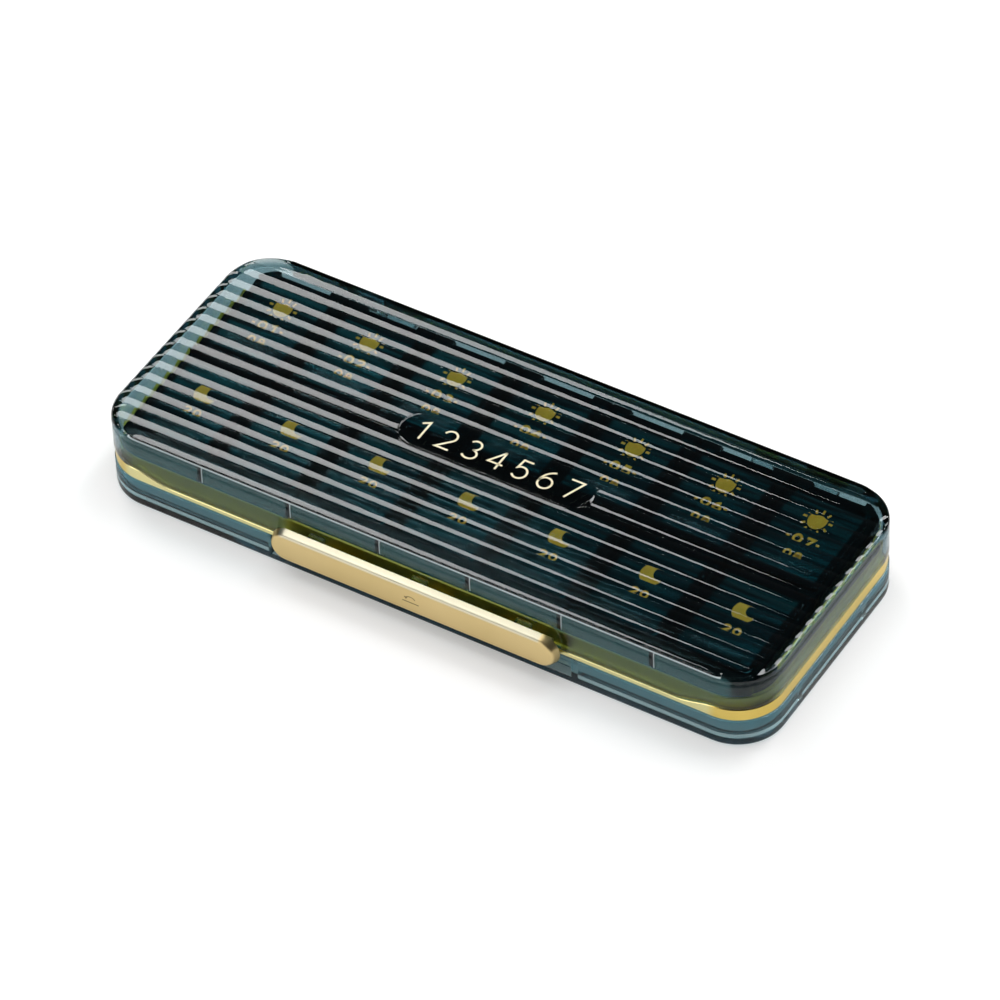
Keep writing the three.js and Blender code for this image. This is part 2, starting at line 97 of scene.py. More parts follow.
class Sock:
    """One output socket of a node tree. Operators on it add Math nodes."""

    def __init__(self, paint: "Paint", socket: bpy.types.NodeSocket) -> None:
        self.paint = paint
        self.socket = socket

    def _math(self, operation: str, first: Any, second: Any) -> "Sock":
        """Adds a Math node with two operands and returns its result."""
        return self.paint.add("ShaderNodeMath", {"operation": operation}, {0: first, 1: second})

    def __add__(self, other: Any) -> "Sock":
        """Sum."""
        return self._math("ADD", self, other)

    def __radd__(self, other: Any) -> "Sock":
        """Sum with a number on the left."""
        return self._math("ADD", other, self)

    def __sub__(self, other: Any) -> "Sock":
        """Difference."""
        return self._math("SUBTRACT", self, other)

    def __rsub__(self, other: Any) -> "Sock":
        """Difference from a number on the left."""
        return self._math("SUBTRACT", other, self)

    def __mul__(self, other: Any) -> "Sock":
        """Product."""
        return self._math("MULTIPLY", self, other)

    def __mod__(self, other: Any) -> "Sock":
        """Remainder, never below zero."""
        return self._math("FLOORED_MODULO", self, other)

    def size(self) -> "Sock":
        """The value without its sign."""
        return self.greatest(0.0 - self)

    def greatest(self, other: Any) -> "Sock":
        """The larger of two values."""
        return self._math("MAXIMUM", self, other)

    def smooth(self, low: float, high: float, start: float = 0.0, end: float = 1.0) -> "Sock":
        """A soft step from start to end while the value goes from low to high."""
        settings = {"interpolation_type": "SMOOTHSTEP"}
        values = {"Value": self, "From Min": low, "From Max": high, "To Min": start, "To Max": end}
        return self.paint.add("ShaderNodeMapRange", settings, values)


class Paint:
    """The node tree of one material."""

    def __init__(self, name: str) -> None:
        self.material = bpy.data.materials.new(name)
        self.material.use_nodes = True
        self.tree = self.material.node_tree
        self.tree.nodes.clear()

    def add(self, kind: str, settings: dict[str, Any] | None = None, values: dict[Any, Any] | None = None,
            output: Union[int, str] = 0) -> Sock:
        """Adds a node.

        Args:
            kind: the node's type.
            settings: the node's own properties, which are set first.
            values: what its inputs hold or are linked to, by name or number.
            output: the output that is handed back.

        Returns:
            The wrapped output socket.
        """
        node = self.tree.nodes.new(kind)
        for key, value in (settings or {}).items():
            setattr(node, key, value)
        for key, value in (values or {}).items():
            if isinstance(value, Sock):
                self.tree.links.new(value.socket, node.inputs[key])
            else:
                node.inputs[key].default_value = value
        return Sock(self, node.outputs[output])

    def place(self) -> Sock:
        """Object coordinates, in metres."""
        return self.add("ShaderNodeTexCoord", output="Object")

    def axis(self, name: str) -> Sock:
        """One of the object coordinates X, Y and Z, in millimetres."""
        return self.add("ShaderNodeSeparateXYZ", {}, {0: self.place()}, name) * (1.0 / MM)

    def ray(self, kind: str) -> Sock:
        """One where the ray is of a kind, by the name of a Light Path output, and none elsewhere."""
        return self.add("ShaderNodeLightPath", output=kind)

    def noise(self, scale: float, detail: float = 2.0, roughness: float = 0.5,
              squeeze: Colour = (1.0, 1.0, 1.0)) -> Sock:
        """Noise on object coordinates.

        Args:
            scale: features in a metre.
            detail: octaves.
            roughness: weight of the fine octaves.
            squeeze: factors on X, Y and Z, of which a small one draws the noise out along its axis.

        Returns:
            The noise value.
        """
        place = self.add("ShaderNodeMapping", {}, {"Vector": self.place(), "Scale": squeeze})
        values = {"Vector": place, "Scale": scale, "Detail": detail, "Roughness": roughness}
        return self.add("ShaderNodeTexNoise", {}, values, "Fac")

    def blend(self, factor: Any, first: Any, second: Any) -> Sock:
        """A colour between two others, each of them a colour or a socket."""
        pair = [value if isinstance(value, Sock) else (*value, 1.0) for value in (first, second)]
        return self.add("ShaderNodeMix", {"data_type": "RGBA"}, {0: factor, 6: pair[0], 7: pair[1]}, 2)

    def bump(self, height: Sock, strength: float, distance: float) -> Sock:
        """A Bump node's normal from a height."""
        return self.add("ShaderNodeBump", {}, {"Strength": strength, "Distance": distance, "Height": height})

    def matt(self, colour: Any) -> Sock:
        """A matt shader."""
        return self.add("ShaderNodeBsdfDiffuse", {}, {"Color": colour})

    def mix(self, factor: Any, first: Sock, second: Sock) -> Sock:
        """A shader between two others."""
        return self.add("ShaderNodeMixShader", {}, {0: factor, 1: first, 2: second})

    def finish(self, surface: Sock, volume: Sock | None = None) -> bpy.types.Material:
        """Links the shaders to the output and returns the material."""
        node = self.tree.nodes.new("ShaderNodeOutputMaterial")
        for key, value in (("Surface", surface), ("Volume", volume)):
            if value is not None:
                self.tree.links.new(value.socket, node.inputs[key])
        return self.material


@dataclass(frozen=True)
class Zone:
    """A box-shaped part of a piece with a colour laid over it and soft sides, in object coordinates. Each
    zone here paints light or shade: a painted highlight, painted light or painted shade.
    """

    colour: Colour
    x: Span | None = None
    y: Span | None = None
    z: Span | None = None
    soft: float = 0.5

    def mask(self, paint: Paint) -> Any:
        """One inside and none outside: a rising times a falling soft step on each axis that is given."""
        share: Any = 1.0
        for axis, span in (("X", self.x), ("Y", self.y), ("Z", self.z)):
            if span is not None:
                along, (low, high) = paint.axis(axis), span
                falling = along.smooth(high, high + self.soft, 1.0, 0.0)
                share = along.smooth(low - self.soft, low) * falling * share
        return share

    def over(self, paint: Paint, colour: Any) -> Sock:
        """The zone's colour laid over another."""
        return paint.blend(self.mask(paint), colour, self.colour)


@dataclass(frozen=True)
class DayRow:
    """Where the seven days lie along the case."""

    pitch: float = 24.4
    days: int = 7

    @property
    def numbers(self) -> range:
        """The days' numbers, from 1."""
        return range(1, self.days + 1)

    def middle(self, day: int) -> float:
        """X of one day's middle."""
        return (day - (self.days + 1) / 2) * self.pitch

    def off(self, paint: Paint, shift: float = 0.0) -> Sock:
        """Distance from the nearest day's middle: the remainder of X by the pitch, less half a pitch."""
        start = self.days / 2 * self.pitch - shift
        return ((paint.axis("X") + start) % self.pitch - self.pitch / 2).size()


DAYS = DayRow()


@dataclass(frozen=True)
class Tone:
    """How a clear plastic differs by place: this one has one colour, no coat and no painted light."""

    surface: Colour = (0.97, 0.985, 0.985)

    def colour(self, paint: Paint) -> Any:
        """Colour of the surface."""
        return (*self.surface, 1.0)

    def coat(self, paint: Paint) -> Any:
        """Weight of a hard clear coat."""
        return 0.0

    def add_painted_light(self, paint: Paint, body: Sock) -> Sock:
        """The plastic with painted light laid over it; this one adds none."""
        return body


@dataclass(frozen=True)
class DayLidTone(Tone):
    """Tones of the day lids: streaks along the case, painted light that makes them paler to the left,
    and painted shade as a darker frame round each lid.

    Both rows of lids lie the same way from one line in Y, so one distance from that line serves both.
    """

    light: Colour = (0.05, 0.44, 0.48)
    # painted light: the paler colour of the lids towards the left end
    left: Colour = (0.12, 0.92, 0.96)
    dark: Colour = (0.01, 0.12, 0.14)
    # painted shade: the darker frame round each lid
    frame: Colour = (0.005, 0.04, 0.05)
    painted_light_fade: Span = (-70.0, 50.0)
    middle: float = 0.65
    # where the painted shade frame lies, across X and at both ends in Y
    side: Span = (8.8, 9.6)
    near: Span = (2.8, 3.6)
    far: Span = (27.6, 28.4)
    streak_scale: float = 900.0
    streak_squeeze: Colour = (0.05, 1.0, 1.0)
    streak_reach: Span = (0.42, 0.6)

    def colour(self, paint: Paint) -> Sock:
        """The colour over every lid: painted light paler to the left, and a painted shade frame round each
        lid.
        """
        along = (paint.axis("Y") - self.middle).size()
        ends = along.smooth(*self.far).greatest(along.smooth(*self.near, 1.0, 0.0))
        streak = paint.noise(self.streak_scale, squeeze=self.streak_squeeze).smooth(*self.streak_reach)
        # painted light: paler towards the left
        light = paint.blend(paint.axis("X").smooth(*self.painted_light_fade), self.left, self.light)
        # painted shade: the frame round each lid
        frame = DAYS.off(paint).smooth(*self.side).greatest(ends)
        return paint.blend(frame, paint.blend(streak, self.dark, light), self.frame)


@dataclass(frozen=True)
class DayBoxTone(Tone):
    """Tones of the day boxes: a dark frame on top, walls painted paler below it as painted light, and a
    painted shade line where two boxes meet.
    """

    frame: Colour = (0.02, 0.09, 0.10)
    # painted shade: a darker line where two boxes meet
    line: Colour = (0.01, 0.05, 0.06)
    # painted light: the boxes paler below the top, for light on their walls
    walls: Zone = Zone((0.22, 0.7, 0.74), z=(0.0, 15.0))
    edge: Span = (11.2, 11.5)

    def colour(self, paint: Paint) -> Sock:
        """The colour over every box, with the painted light on the walls and the painted shade line."""
        return paint.blend(DAYS.off(paint).smooth(*self.edge), self.walls.over(paint, self.frame), self.line)


@dataclass(frozen=True)
class CaseLidTone(Tone):
    """Tones of the case's lid.

    A hard clear coat lies on it: all of it on the ribbed top, less on the skirt, and none on the ceiling
    inside and on the far edge, which is painted shade. The front of the skirt has a thin matt layer of
    painted light, a painted highlight along its upper edge, and at each joint of two boxes a painted shade
    line with a painted highlight beside it.
    """

    skirt_coat: float = 0.7
    skirt_end: Span = (18.8, 19.6)
    top_start: Span = (20.1, 20.4)
    # painted shade: a near-black band along the lid's far edge
    painted_dark_edge: Zone = Zone((0.001, 0.006, 0.007), x=(-78.0, 84.0), y=(34.0, 41.0), z=(17.5, 24.0))
    # painted light: a thin matt layer over the front of the skirt
    painted_light_veil: Zone = Zone((0.28, 0.75, 0.78), y=(-40.0, -34.5), z=(16.2, 21.2))
    painted_light_share: float = 0.16
    # painted highlight: a light line along the upper front edge of the skirt
    painted_highlight_edge: Zone = Zone((0.85, 0.93, 0.95), x=(-80.0, 80.0), y=(-36.0, -34.2), z=(21.32, 21.52), soft=0.1)
    # painted shade: dark lines on the front of the skirt where two boxes meet behind it
    front: Zone = Zone((0.01, 0.04, 0.045), y=(-41.0, -34.5), z=(16.8, 21.2), soft=0.2)
    painted_shade_shift: float = 1.3
    painted_shade_reach: Span = (11.45, 11.75)
    # painted highlights: light lines beside the dark ones
    painted_highlight_shift: float = 1.9
    painted_highlight_reach: Span = (12.0, 12.1)
    painted_highlight_share: float = 0.7

    def joints(self, paint: Paint, shift: float, reach: Span) -> Sock:
        """Painted lines on the front of the skirt: one past a reach from the middle of each day, shifted
        along X.
        """
        return DAYS.off(paint, shift).smooth(*reach) * self.front.mask(paint)

    def colour(self, paint: Paint) -> Sock:
        """The plain colour, with the far edge and the dark lines at the joints painted in as painted shade.
        """
        dark = self.joints(paint, self.painted_shade_shift, self.painted_shade_reach)
        return paint.blend(dark, self.painted_dark_edge.over(paint, self.surface), self.front.colour)

    def coat(self, paint: Paint) -> Sock:
        """Weight of the coat by height."""
        height = paint.axis("Z")
        weight = height.smooth(*self.skirt_end, self.skirt_coat, 0.0) + height.smooth(*self.top_start)
        return weight * (1.0 - self.painted_dark_edge.mask(paint))

    def add_painted_light(self, paint: Paint, body: Sock) -> Sock:
        """The plastic with the thin matt layer of painted light and the painted highlight lines."""
        bare = 1.0 - self.joints(paint, self.painted_shade_shift, self.painted_shade_reach)
        share = self.painted_light_veil.mask(paint) * self.painted_light_share * bare
        body = paint.mix(share, body, paint.matt((*self.painted_light_veil.colour, 1.0)))
        lines = self.painted_highlight_edge.mask(paint).greatest(self.joints(paint, self.painted_highlight_shift, self.painted_highlight_reach))
        return paint.mix(lines * self.painted_highlight_share, body, paint.matt((*self.painted_highlight_edge.colour, 1.0)))


@dataclass(frozen=True)
class ClearPlastic:
    """Clear tinted plastic: a polished moulding whose colour grows with its thickness."""

    name: str
    kept: Colour
    roughness: float = 0.003
    haze: float = 0.006
    ior: float = 1.5
    flow: float = 0.012
    clarity: float = 1.0
    tone: Tone = Tone()
    coat_ior: float = 1.46
    shadow: Colour = (0.93, 0.96, 0.96)
    haze_scale: float = 900.0
    haze_reach: Span = (0.45, 0.8)
    flow_scale: float = 55.0
    flow_depth: float = 0.4

    def paint(self) -> bpy.types.Material:
        """Builds the material: kept is the share of red, green and blue left after one millimetre."""
        paint = Paint(self.name)
        loss = [-math.log(share) / MM for share in self.kept]
        density = max(loss)
        tint = [1.0 - value / density for value in loss]
        fine = paint.noise(self.haze_scale, 3.0, 0.6).smooth(*self.haze_reach)
        body = paint.add("ShaderNodeBsdfPrincipled", {}, {
            "Base Color": self.tone.colour(paint), "IOR": self.ior, "Transmission Weight": self.clarity,
            "Normal": paint.bump(paint.noise(self.flow_scale, 1.0), self.flow, self.flow_depth * MM),
            "Roughness": self.roughness + fine * self.haze, "Coat Weight": self.tone.coat(paint),
            "Coat IOR": self.coat_ior, "Coat Roughness": self.roughness})
        body = self.tone.add_painted_light(paint, body)
        soft_light = paint.ray("Is Shadow Ray").greatest(paint.ray("Is Diffuse Ray"))
        clear = paint.add("ShaderNodeBsdfTransparent", {}, {"Color": (*self.shadow, 1.0)})
        volume = paint.add("ShaderNodeVolumeAbsorption", {}, {"Color": (*tint, 1.0), "Density": density})
        return paint.finish(paint.mix(soft_light, body, clear), volume)


@dataclass(frozen=True)
class Plated:
    """Plated or drawn metal with a fine satin grain, and where one is given a zone of painted light over its
    colour.
    """

    name: str
    low: Colour
    high: Colour
    roughness: float
    spread: float
    grain: float
    # painted light: a zone painted paler or brighter, as a painted highlight or painted light
    painted_light_zone: Zone | None = None
    cloud_scale: float = 38.0
    cloud_reach: Span = (0.3, 0.7)
    grain_scale: float = 5200.0
    grain_depth: float = 0.02

    def paint(self) -> bpy.types.Material:
        """Builds the material: a cloudy colour with any painted light zone over it, a roughness that drifts,
        and grain as bump.
        """
        paint = Paint(self.name)
        cloud = paint.noise(self.cloud_scale, 3.0)
        fine = paint.noise(self.grain_scale, 2.0, 0.6)
        colour = paint.blend(cloud.smooth(*self.cloud_reach), self.low, self.high)
        # painted light laid over the metal's own colour
        if self.painted_light_zone is not None:
            colour = self.painted_light_zone.over(paint, colour)
        return paint.finish(paint.add("ShaderNodeBsdfPrincipled", {}, {
            "Base Color": colour, "Metallic": 1.0,
            "Normal": paint.bump(fine, self.grain, self.grain_depth * MM),
            "Roughness": self.roughness + (cloud - 0.5) * self.spread + (fine - 0.5) * self.spread}))


@dataclass(frozen=True)
class Foil:
    """Hot-stamped foil print, a little uneven where the stamp pressed."""

    name: str
    low: Colour
    high: Colour
    metal: float
    roughness: float = 0.38
    wear: float = 0.1
    cloud_scale: float = 420.0
    cloud_reach: Span = (0.25, 0.75)
    grain: float = 0.15
    grain_scale: float = 2500.0
    grain_depth: float = 0.01

    def paint(self) -> bpy.types.Material:
        """Builds the material from two tones of foil mixed by noise."""
        paint = Paint(self.name)
        cloud = paint.noise(self.cloud_scale, 3.0, 0.6)
        return paint.finish(paint.add("ShaderNodeBsdfPrincipled", {}, {
            "Base Color": paint.blend(cloud.smooth(*self.cloud_reach), self.low, self.high),
            "Metallic": self.metal, "Roughness": self.roughness + cloud * self.wear,
            "Normal": paint.bump(paint.noise(self.grain_scale), self.grain, self.grain_depth * MM)}))


@dataclass(frozen=True)
class StudioFloor:
    """White table top that also shows white to the camera, to metal and through clear plastic."""

    name: str = "studio_floor"
    shade: float = 0.62
    cloud_scale: float = 1.2
    cloud_gain: float = 1.01
    lift: float = 0.6
    lift_through: float = 0.15
    # painted shade: the glow's share near the case
    near: float = 0.68
    painted_shade_floor_reach: Span = (0.18, 0.7)

    def paint(self) -> bpy.types.Material:
        """Builds the material: a matt white, and a low glow for the viewer, gloss and clear plastic alone.

        The glow is weaker near the case, within a reach in metres: a broad painted shade round the case, so
        that the cast shadow is not hidden.
        """
        paint = Paint(self.name)
        cloud = paint.noise(self.cloud_scale)
        tone = paint.blend(cloud, (self.shade,) * 3, (self.shade * self.cloud_gain,) * 3)
        through = paint.ray("Is Glossy Ray").greatest(paint.ray("Is Transmission Ray")) * self.lift_through
        away = paint.add("ShaderNodeVectorMath", {"operation": "LENGTH"}, {0: paint.place()}, "Value")
        glow = paint.add("ShaderNodeEmission", {}, {
            "Color": paint.blend(away.smooth(*self.painted_shade_floor_reach), (self.near,) * 3, (1.0, 1.0, 1.0)),
            "Strength": (paint.ray("Is Camera Ray") * self.lift).greatest(through)})
        return paint.finish(paint.add("ShaderNodeAddShader", {}, {0: paint.matt(tone), 1: glow}))


class Finish(Enum):
    """Every finish of the box, with its recipe."""

    LID = ClearPlastic("lid_teal_plastic", (0.68, 0.77, 0.79), 0.0, 0.002, 1.18, 0.002, tone=CaseLidTone())
    TUB = ClearPlastic("tub_teal_plastic", (0.87, 0.945, 0.96))
    DARK = ClearPlastic("dark_teal_plastic", (0.35, 0.62, 0.65), 0.004, 0.004, 1.22, 0.004, 0.92,
                        DayLidTone())
    BOX = ClearPlastic("box_teal_plastic", (0.35, 0.62, 0.65), 0.004, 0.004, 1.22, 0.004, 0.94,
                       DayBoxTone())
    # painted highlight: paler yellow along the front of the band
    BRIGHT = Plated("bright_gold_plate", (0.86, 0.62, 0.14), (0.92, 0.68, 0.18), 0.2, 0.06, 0.05,
                    Zone((0.97, 0.88, 0.42), x=(-80.0, 76.0), y=(-41.0, -33.0), soft=3.0))
    # painted shade: a darker copy of the collar's gold for its wall behind lid and tub, with painted light
    # brighter in the middle of the front
    SHADED_GOLD = Plated("shaded_gold_plate", (0.42, 0.34, 0.05), (0.48, 0.39, 0.07), 0.3, 0.06, 0.05,
                  Zone((0.75, 0.62, 0.09), x=(-36.0, 36.0), y=(-40.0, 0.0), soft=3.0))
    # painted highlight: pale cream along the top of the bar
    SATIN = Plated("satin_gold_plate", (0.80, 0.61, 0.275), (0.87, 0.67, 0.32), 0.34, 0.08, 0.2,
                   Zone((0.74, 0.69, 0.52), x=(-36.0, 34.0), z=(14.0, 20.0), soft=0.7))
    ENGRAVED = Plated("engraved_gold", (0.30, 0.21, 0.09), (0.38, 0.28, 0.13), 0.5, 0.1, 0.2)
    STEEL = Plated("drawn_steel", (0.55, 0.56, 0.57), (0.64, 0.65, 0.66), 0.28, 0.08, 0.1)
    PRINT_GOLD = Foil("foil_gold", (0.92, 0.38, 0.01), (0.98, 0.45, 0.02), 0.1)
    PRINT_CREAM = Foil("foil_cream", (0.86, 0.76, 0.50), (0.95, 0.87, 0.64), 0.2, 0.3)


Materials = dict[Finish, bpy.types.Material]


def on_x(outline: np.ndarray, x: float) -> np.ndarray:
    """Places a YZ outline at one X."""
    return np.column_stack([np.full(len(outline), x), outline])


def on_y(outline: np.ndarray, y: float) -> np.ndarray:
    """Places an XZ outline at one Y."""
    return np.column_stack([outline[:, 0], np.full(len(outline), y), outline[:, 1]])


def on_z(outline: np.ndarray, z: Number) -> np.ndarray:
    """Places an XY outline at one Z, or each of its points at a Z of its own."""
    return np.column_stack([outline, np.broadcast_to(z, (len(outline),))])


@dataclass(frozen=True)
class Layer:
    """The space between two depths, with the function that puts flat points into it at one depth."""

    place: Callable[[np.ndarray, float], np.ndarray]
    low: float
    high: float


def arc(centre: Span, radii: Span, start: float, end: float, steps: int) -> np.ndarray:
    """Points on an ellipse: centre plus radii times cosine and sine of angles in degrees, start to end."""
    angle = np.radians(np.linspace(start, end, steps + 1))
    return np.column_stack([centre[0] + radii[0] * np.cos(angle), centre[1] + radii[1] * np.sin(angle)])


def box(x: Span, y: Span) -> np.ndarray:
    """Corners of a rectangle between two places on each axis."""
    return np.array([(x[0], y[0]), (x[1], y[0]), (x[1], y[1]), (x[0], y[1])])


def mirrored(right: np.ndarray) -> np.ndarray:
    """Places to the right of the middle, with the middle and their mirror images."""
    return np.concatenate([-right[::-1], [0.0], right])


def smooth_step(value: np.ndarray, low: float, high: float) -> np.ndarray:
    """Rises from 0 to 1 between low and high: three t squared less two t cubed."""
    share = np.clip((value - low) / (high - low), 0.0, 1.0)
    return share * share * (3.0 - 2.0 * share)


def below(value: np.ndarray, limit: float, soft: float) -> np.ndarray:
    """One below a limit and none above it, with a smooth step from soft before it to soft past it."""
    return 1.0 - smooth_step(value, limit - soft, limit + soft)


def past_stadium(x: np.ndarray, y: np.ndarray, half: float, radius: float) -> np.ndarray:
    """Distance outside a stadium along X: from its straight spine, less the radius."""
    return np.hypot(np.maximum(np.abs(x) - (half - radius), 0.0), y) - radius


def merge_places(parts: Sequence[np.ndarray], least: float) -> np.ndarray:
    """Sorts places from several lists and drops those nearer than least to the one before."""
    places = np.unique(np.round(np.concatenate(parts), 4))
    return places[np.concatenate([[True], np.diff(places) > least])]


class Skin:
    """Points and faces of one piece, gathered as whole arrays before they go into a mesh."""

    def __init__(self) -> None:
        self._points: list[np.ndarray] = []
        self._faces: list[np.ndarray] = []
        self._count = 0

    def add(self, points: np.ndarray) -> np.ndarray:
        """Adds points of any grid shape.

        Args:
            points: places in millimetres, the last axis being X, Y and Z.

        Returns:
            The points' numbers, in the same grid shape.
        """
        flat = np.asarray(points, dtype=float).reshape(-1, 3)
        index = np.arange(self._count, self._count + len(flat)).reshape(np.shape(points)[:-1])
        self._points.append(flat)
        self._count += len(flat)
        return index

    def span(self, index: np.ndarray, around: bool = False) -> None:
        """Puts quads between neighbouring rows of a grid; around joins each row's end to its start."""
        if around:
            index = np.concatenate([index, index[:, :1]], axis=1)
        quads = np.stack([index[:-1, :-1], index[:-1, 1:], index[1:, 1:], index[1:, :-1]], axis=-1)
        self._faces.append(quads.reshape(-1, 4))

    def cap(self, loop: np.ndarray) -> None:
        """Closes a loop of points with one flat face."""
        self._faces.append(np.asarray(loop).reshape(1, -1))

    def loft(self, rings: np.ndarray, caps: bool = True) -> None:
        """Joins rings of points one after the other.

        Args:
            rings: an array of rings, each of the same number of points.
            caps: closes the first and the last ring; if it is off, the last ring joins the first.
        """
        index = self.add(rings)
        if caps:
            self.span(index, around=True)
            self.cap(index[0])
            self.cap(index[-1])
        else:
            self.span(np.concatenate([index, index[:1]]), around=True)

    def prism(self, outline: np.ndarray, layer: Layer) -> None:
        """A prism over a flat outline, from one side of a layer to the other."""
        self.loft(np.stack([layer.place(outline, depth) for depth in (layer.low, layer.high)]))

    def ribbon(self, path: np.ndarray, width: float, layer: Layer, closed: bool = False) -> None:
        """Adds a flat band along a path.

        Each point moves to both sides along the mean of its two neighbours' normals, lengthened by one over
        the cosine of half the turn, so that the band keeps its width round corners. The cosine is held at or
        above that of the sharpest turn.

        Args:
            path: the middle line, flat points.
            width: across the band.
            layer: the depths that the band fills.
            closed: joins the path's end to its start.
        """
        if closed:
            before, after = np.roll(path, 1, axis=0), np.roll(path, -1, axis=0)
        else:
            before = np.concatenate([path[:1] * 2 - path[1:2], path[:-1]])
            after = np.concatenate([path[1:], path[-1:] * 2 - path[-2:-1]])
        first = (path - before) / np.linalg.norm(path - before, axis=1, keepdims=True)
        second = (after - path) / np.linalg.norm(after - path, axis=1, keepdims=True)
        normal = np.column_stack([-(first + second)[:, 1], (first + second)[:, 0]])
        normal /= np.linalg.norm(normal, axis=1, keepdims=True)
        turn = np.abs(np.sum(normal * np.column_stack([-first[:, 1], first[:, 0]]), axis=1))
        reach = normal * (width / 2 / np.maximum(turn, SHARPEST))[:, None]
        sides = ((reach, layer.high), (-reach, layer.high), (-reach, layer.low), (reach, layer.low))
        rails = np.stack([layer.place(path + side, depth) for side, depth in sides], axis=1)
        self.loft(rails, caps=not closed)

    def shell(self, grid: np.ndarray, rings: Callable[[np.ndarray], Sequence[np.ndarray]]) -> None:
        """A top surface with walls that hang from its border. It is the first thing added.

        Args:
            grid: the top as a grid of points.
            rings: makes the walls' rings of points from the points of the border.
        """
        index = self.add(grid)
        self.span(index)
        border = np.concatenate([index[0, :-1], index[:-1, -1], index[-1, :0:-1], index[:0:-1, 0]])
        walls = self.add(np.stack(rings(grid.reshape(-1, 3)[border])))
        self.span(np.concatenate([border[None, :], walls]), around=True)
        self.cap(walls[-1])

    def mesh(self, name: str, crease: float = 32.0) -> bpy.types.Mesh:
        """Makes the mesh: faces turned outwards, smooth shading, and sharp edges past the crease angle."""
        points = np.concatenate(self._points) * MM
        sizes = np.concatenate([np.full(len(faces), faces.shape[1]) for faces in self._faces])
        corners = np.concatenate([faces.reshape(-1) for faces in self._faces])
        mesh = bpy.data.meshes.new(name)
        mesh.vertices.add(len(points))
        mesh.vertices.foreach_set("co", points.ravel())
        mesh.loops.add(len(corners))
        mesh.loops.foreach_set("vertex_index", corners)
        mesh.polygons.add(len(sizes))
        mesh.polygons.foreach_set("loop_start", np.cumsum(sizes) - sizes)
        mesh.update(calc_edges=True)
        mesh.validate()
        work = bmesh.new()
        work.from_mesh(mesh)
        bmesh.ops.recalc_face_normals(work, faces=work.faces[:])
        work.to_mesh(mesh)
        work.free()
        mesh.polygons.foreach_set("use_smooth", np.ones(len(mesh.polygons), dtype=bool))
        mesh.set_sharp_from_angle(angle=math.radians(crease))
        return mesh


def put(name: str, data: bpy.types.ID) -> bpy.types.Object:
    """Puts a mesh, a lamp or a camera into the scene as an object."""
    thing = bpy.data.objects.new(name, data)
    bpy.context.scene.collection.objects.link(thing)
    return thing


def add_piece(mesh: bpy.types.Mesh, material: bpy.types.Material, body: str,
              replaced: Sequence[str] = ()) -> None:
    """Puts a mesh into the scene as a piece of the box, under the mesh's name.

    Args:
        mesh: the piece's mesh, in place.
        material: its finish.
        body: the body that it moves with.
        replaced: CAD nodes that it stands for.
    """
    piece = put(mesh.name, mesh)
    mesh.materials.append(material)
    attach(piece, body)
    if replaced:
        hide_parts(*replaced)


@dataclass(frozen=True)
class Loop:
    """Places round an outline: a centre, an outward direction and a radius for each."""

    core: np.ndarray
    out: np.ndarray
    radius: np.ndarray
    straight: float = 0.999
    forward: float = 0.3

    @property
    def front(self) -> np.ndarray:
        """True on the straight front."""
        return self.out[:, 1] < -self.straight

    @property
    def front_side(self) -> np.ndarray:
        """True on the straight front and on most of the front corners."""
        return self.out[:, 1] < -self.forward

    @property
    def x(self) -> np.ndarray:
        """X of each place on the outline itself."""
        return self.core[:, 0] + self.out[:, 0] * self.radius

    def ring(self, inset: Number, z: Number) -> np.ndarray:
        """Points at a distance inside the outline and at a height."""
        return on_z(self.core + self.out * (self.radius - inset)[:, None], z)

    def rings(self, section: Sequence[tuple[Number, Number]]) -> list[np.ndarray]:
        """A ring for each inset and height of a section."""
        return [self.ring(inset, z) for inset, z in section]

    def bend(self, inset: Number, z: Number, radius: float, angles: Sequence[float]) -> list[np.ndarray]:
        """Rings round part of a circle in the section.

        Args:
            inset: inset of the circle's centre.
            z: height of the circle's centre.
            radius: radius of the circle.
            angles: degrees, from 0 straight inwards over 90 straight up.

        Returns:
            One ring for each angle.
        """
        return self.rings([(inset + radius * math.cos(angle), z + radius * math.sin(angle))
                           for angle in np.radians(angles)])

    def within(self, low: Span, high: Span, radius: float) -> "Loop":
        """The same directions carried to a smaller rectangle with one radius at all corners."""
        core = np.clip(self.core, np.array(low) + radius, np.array(high) - radius)
        return Loop(core, self.out, np.full(len(core), radius))


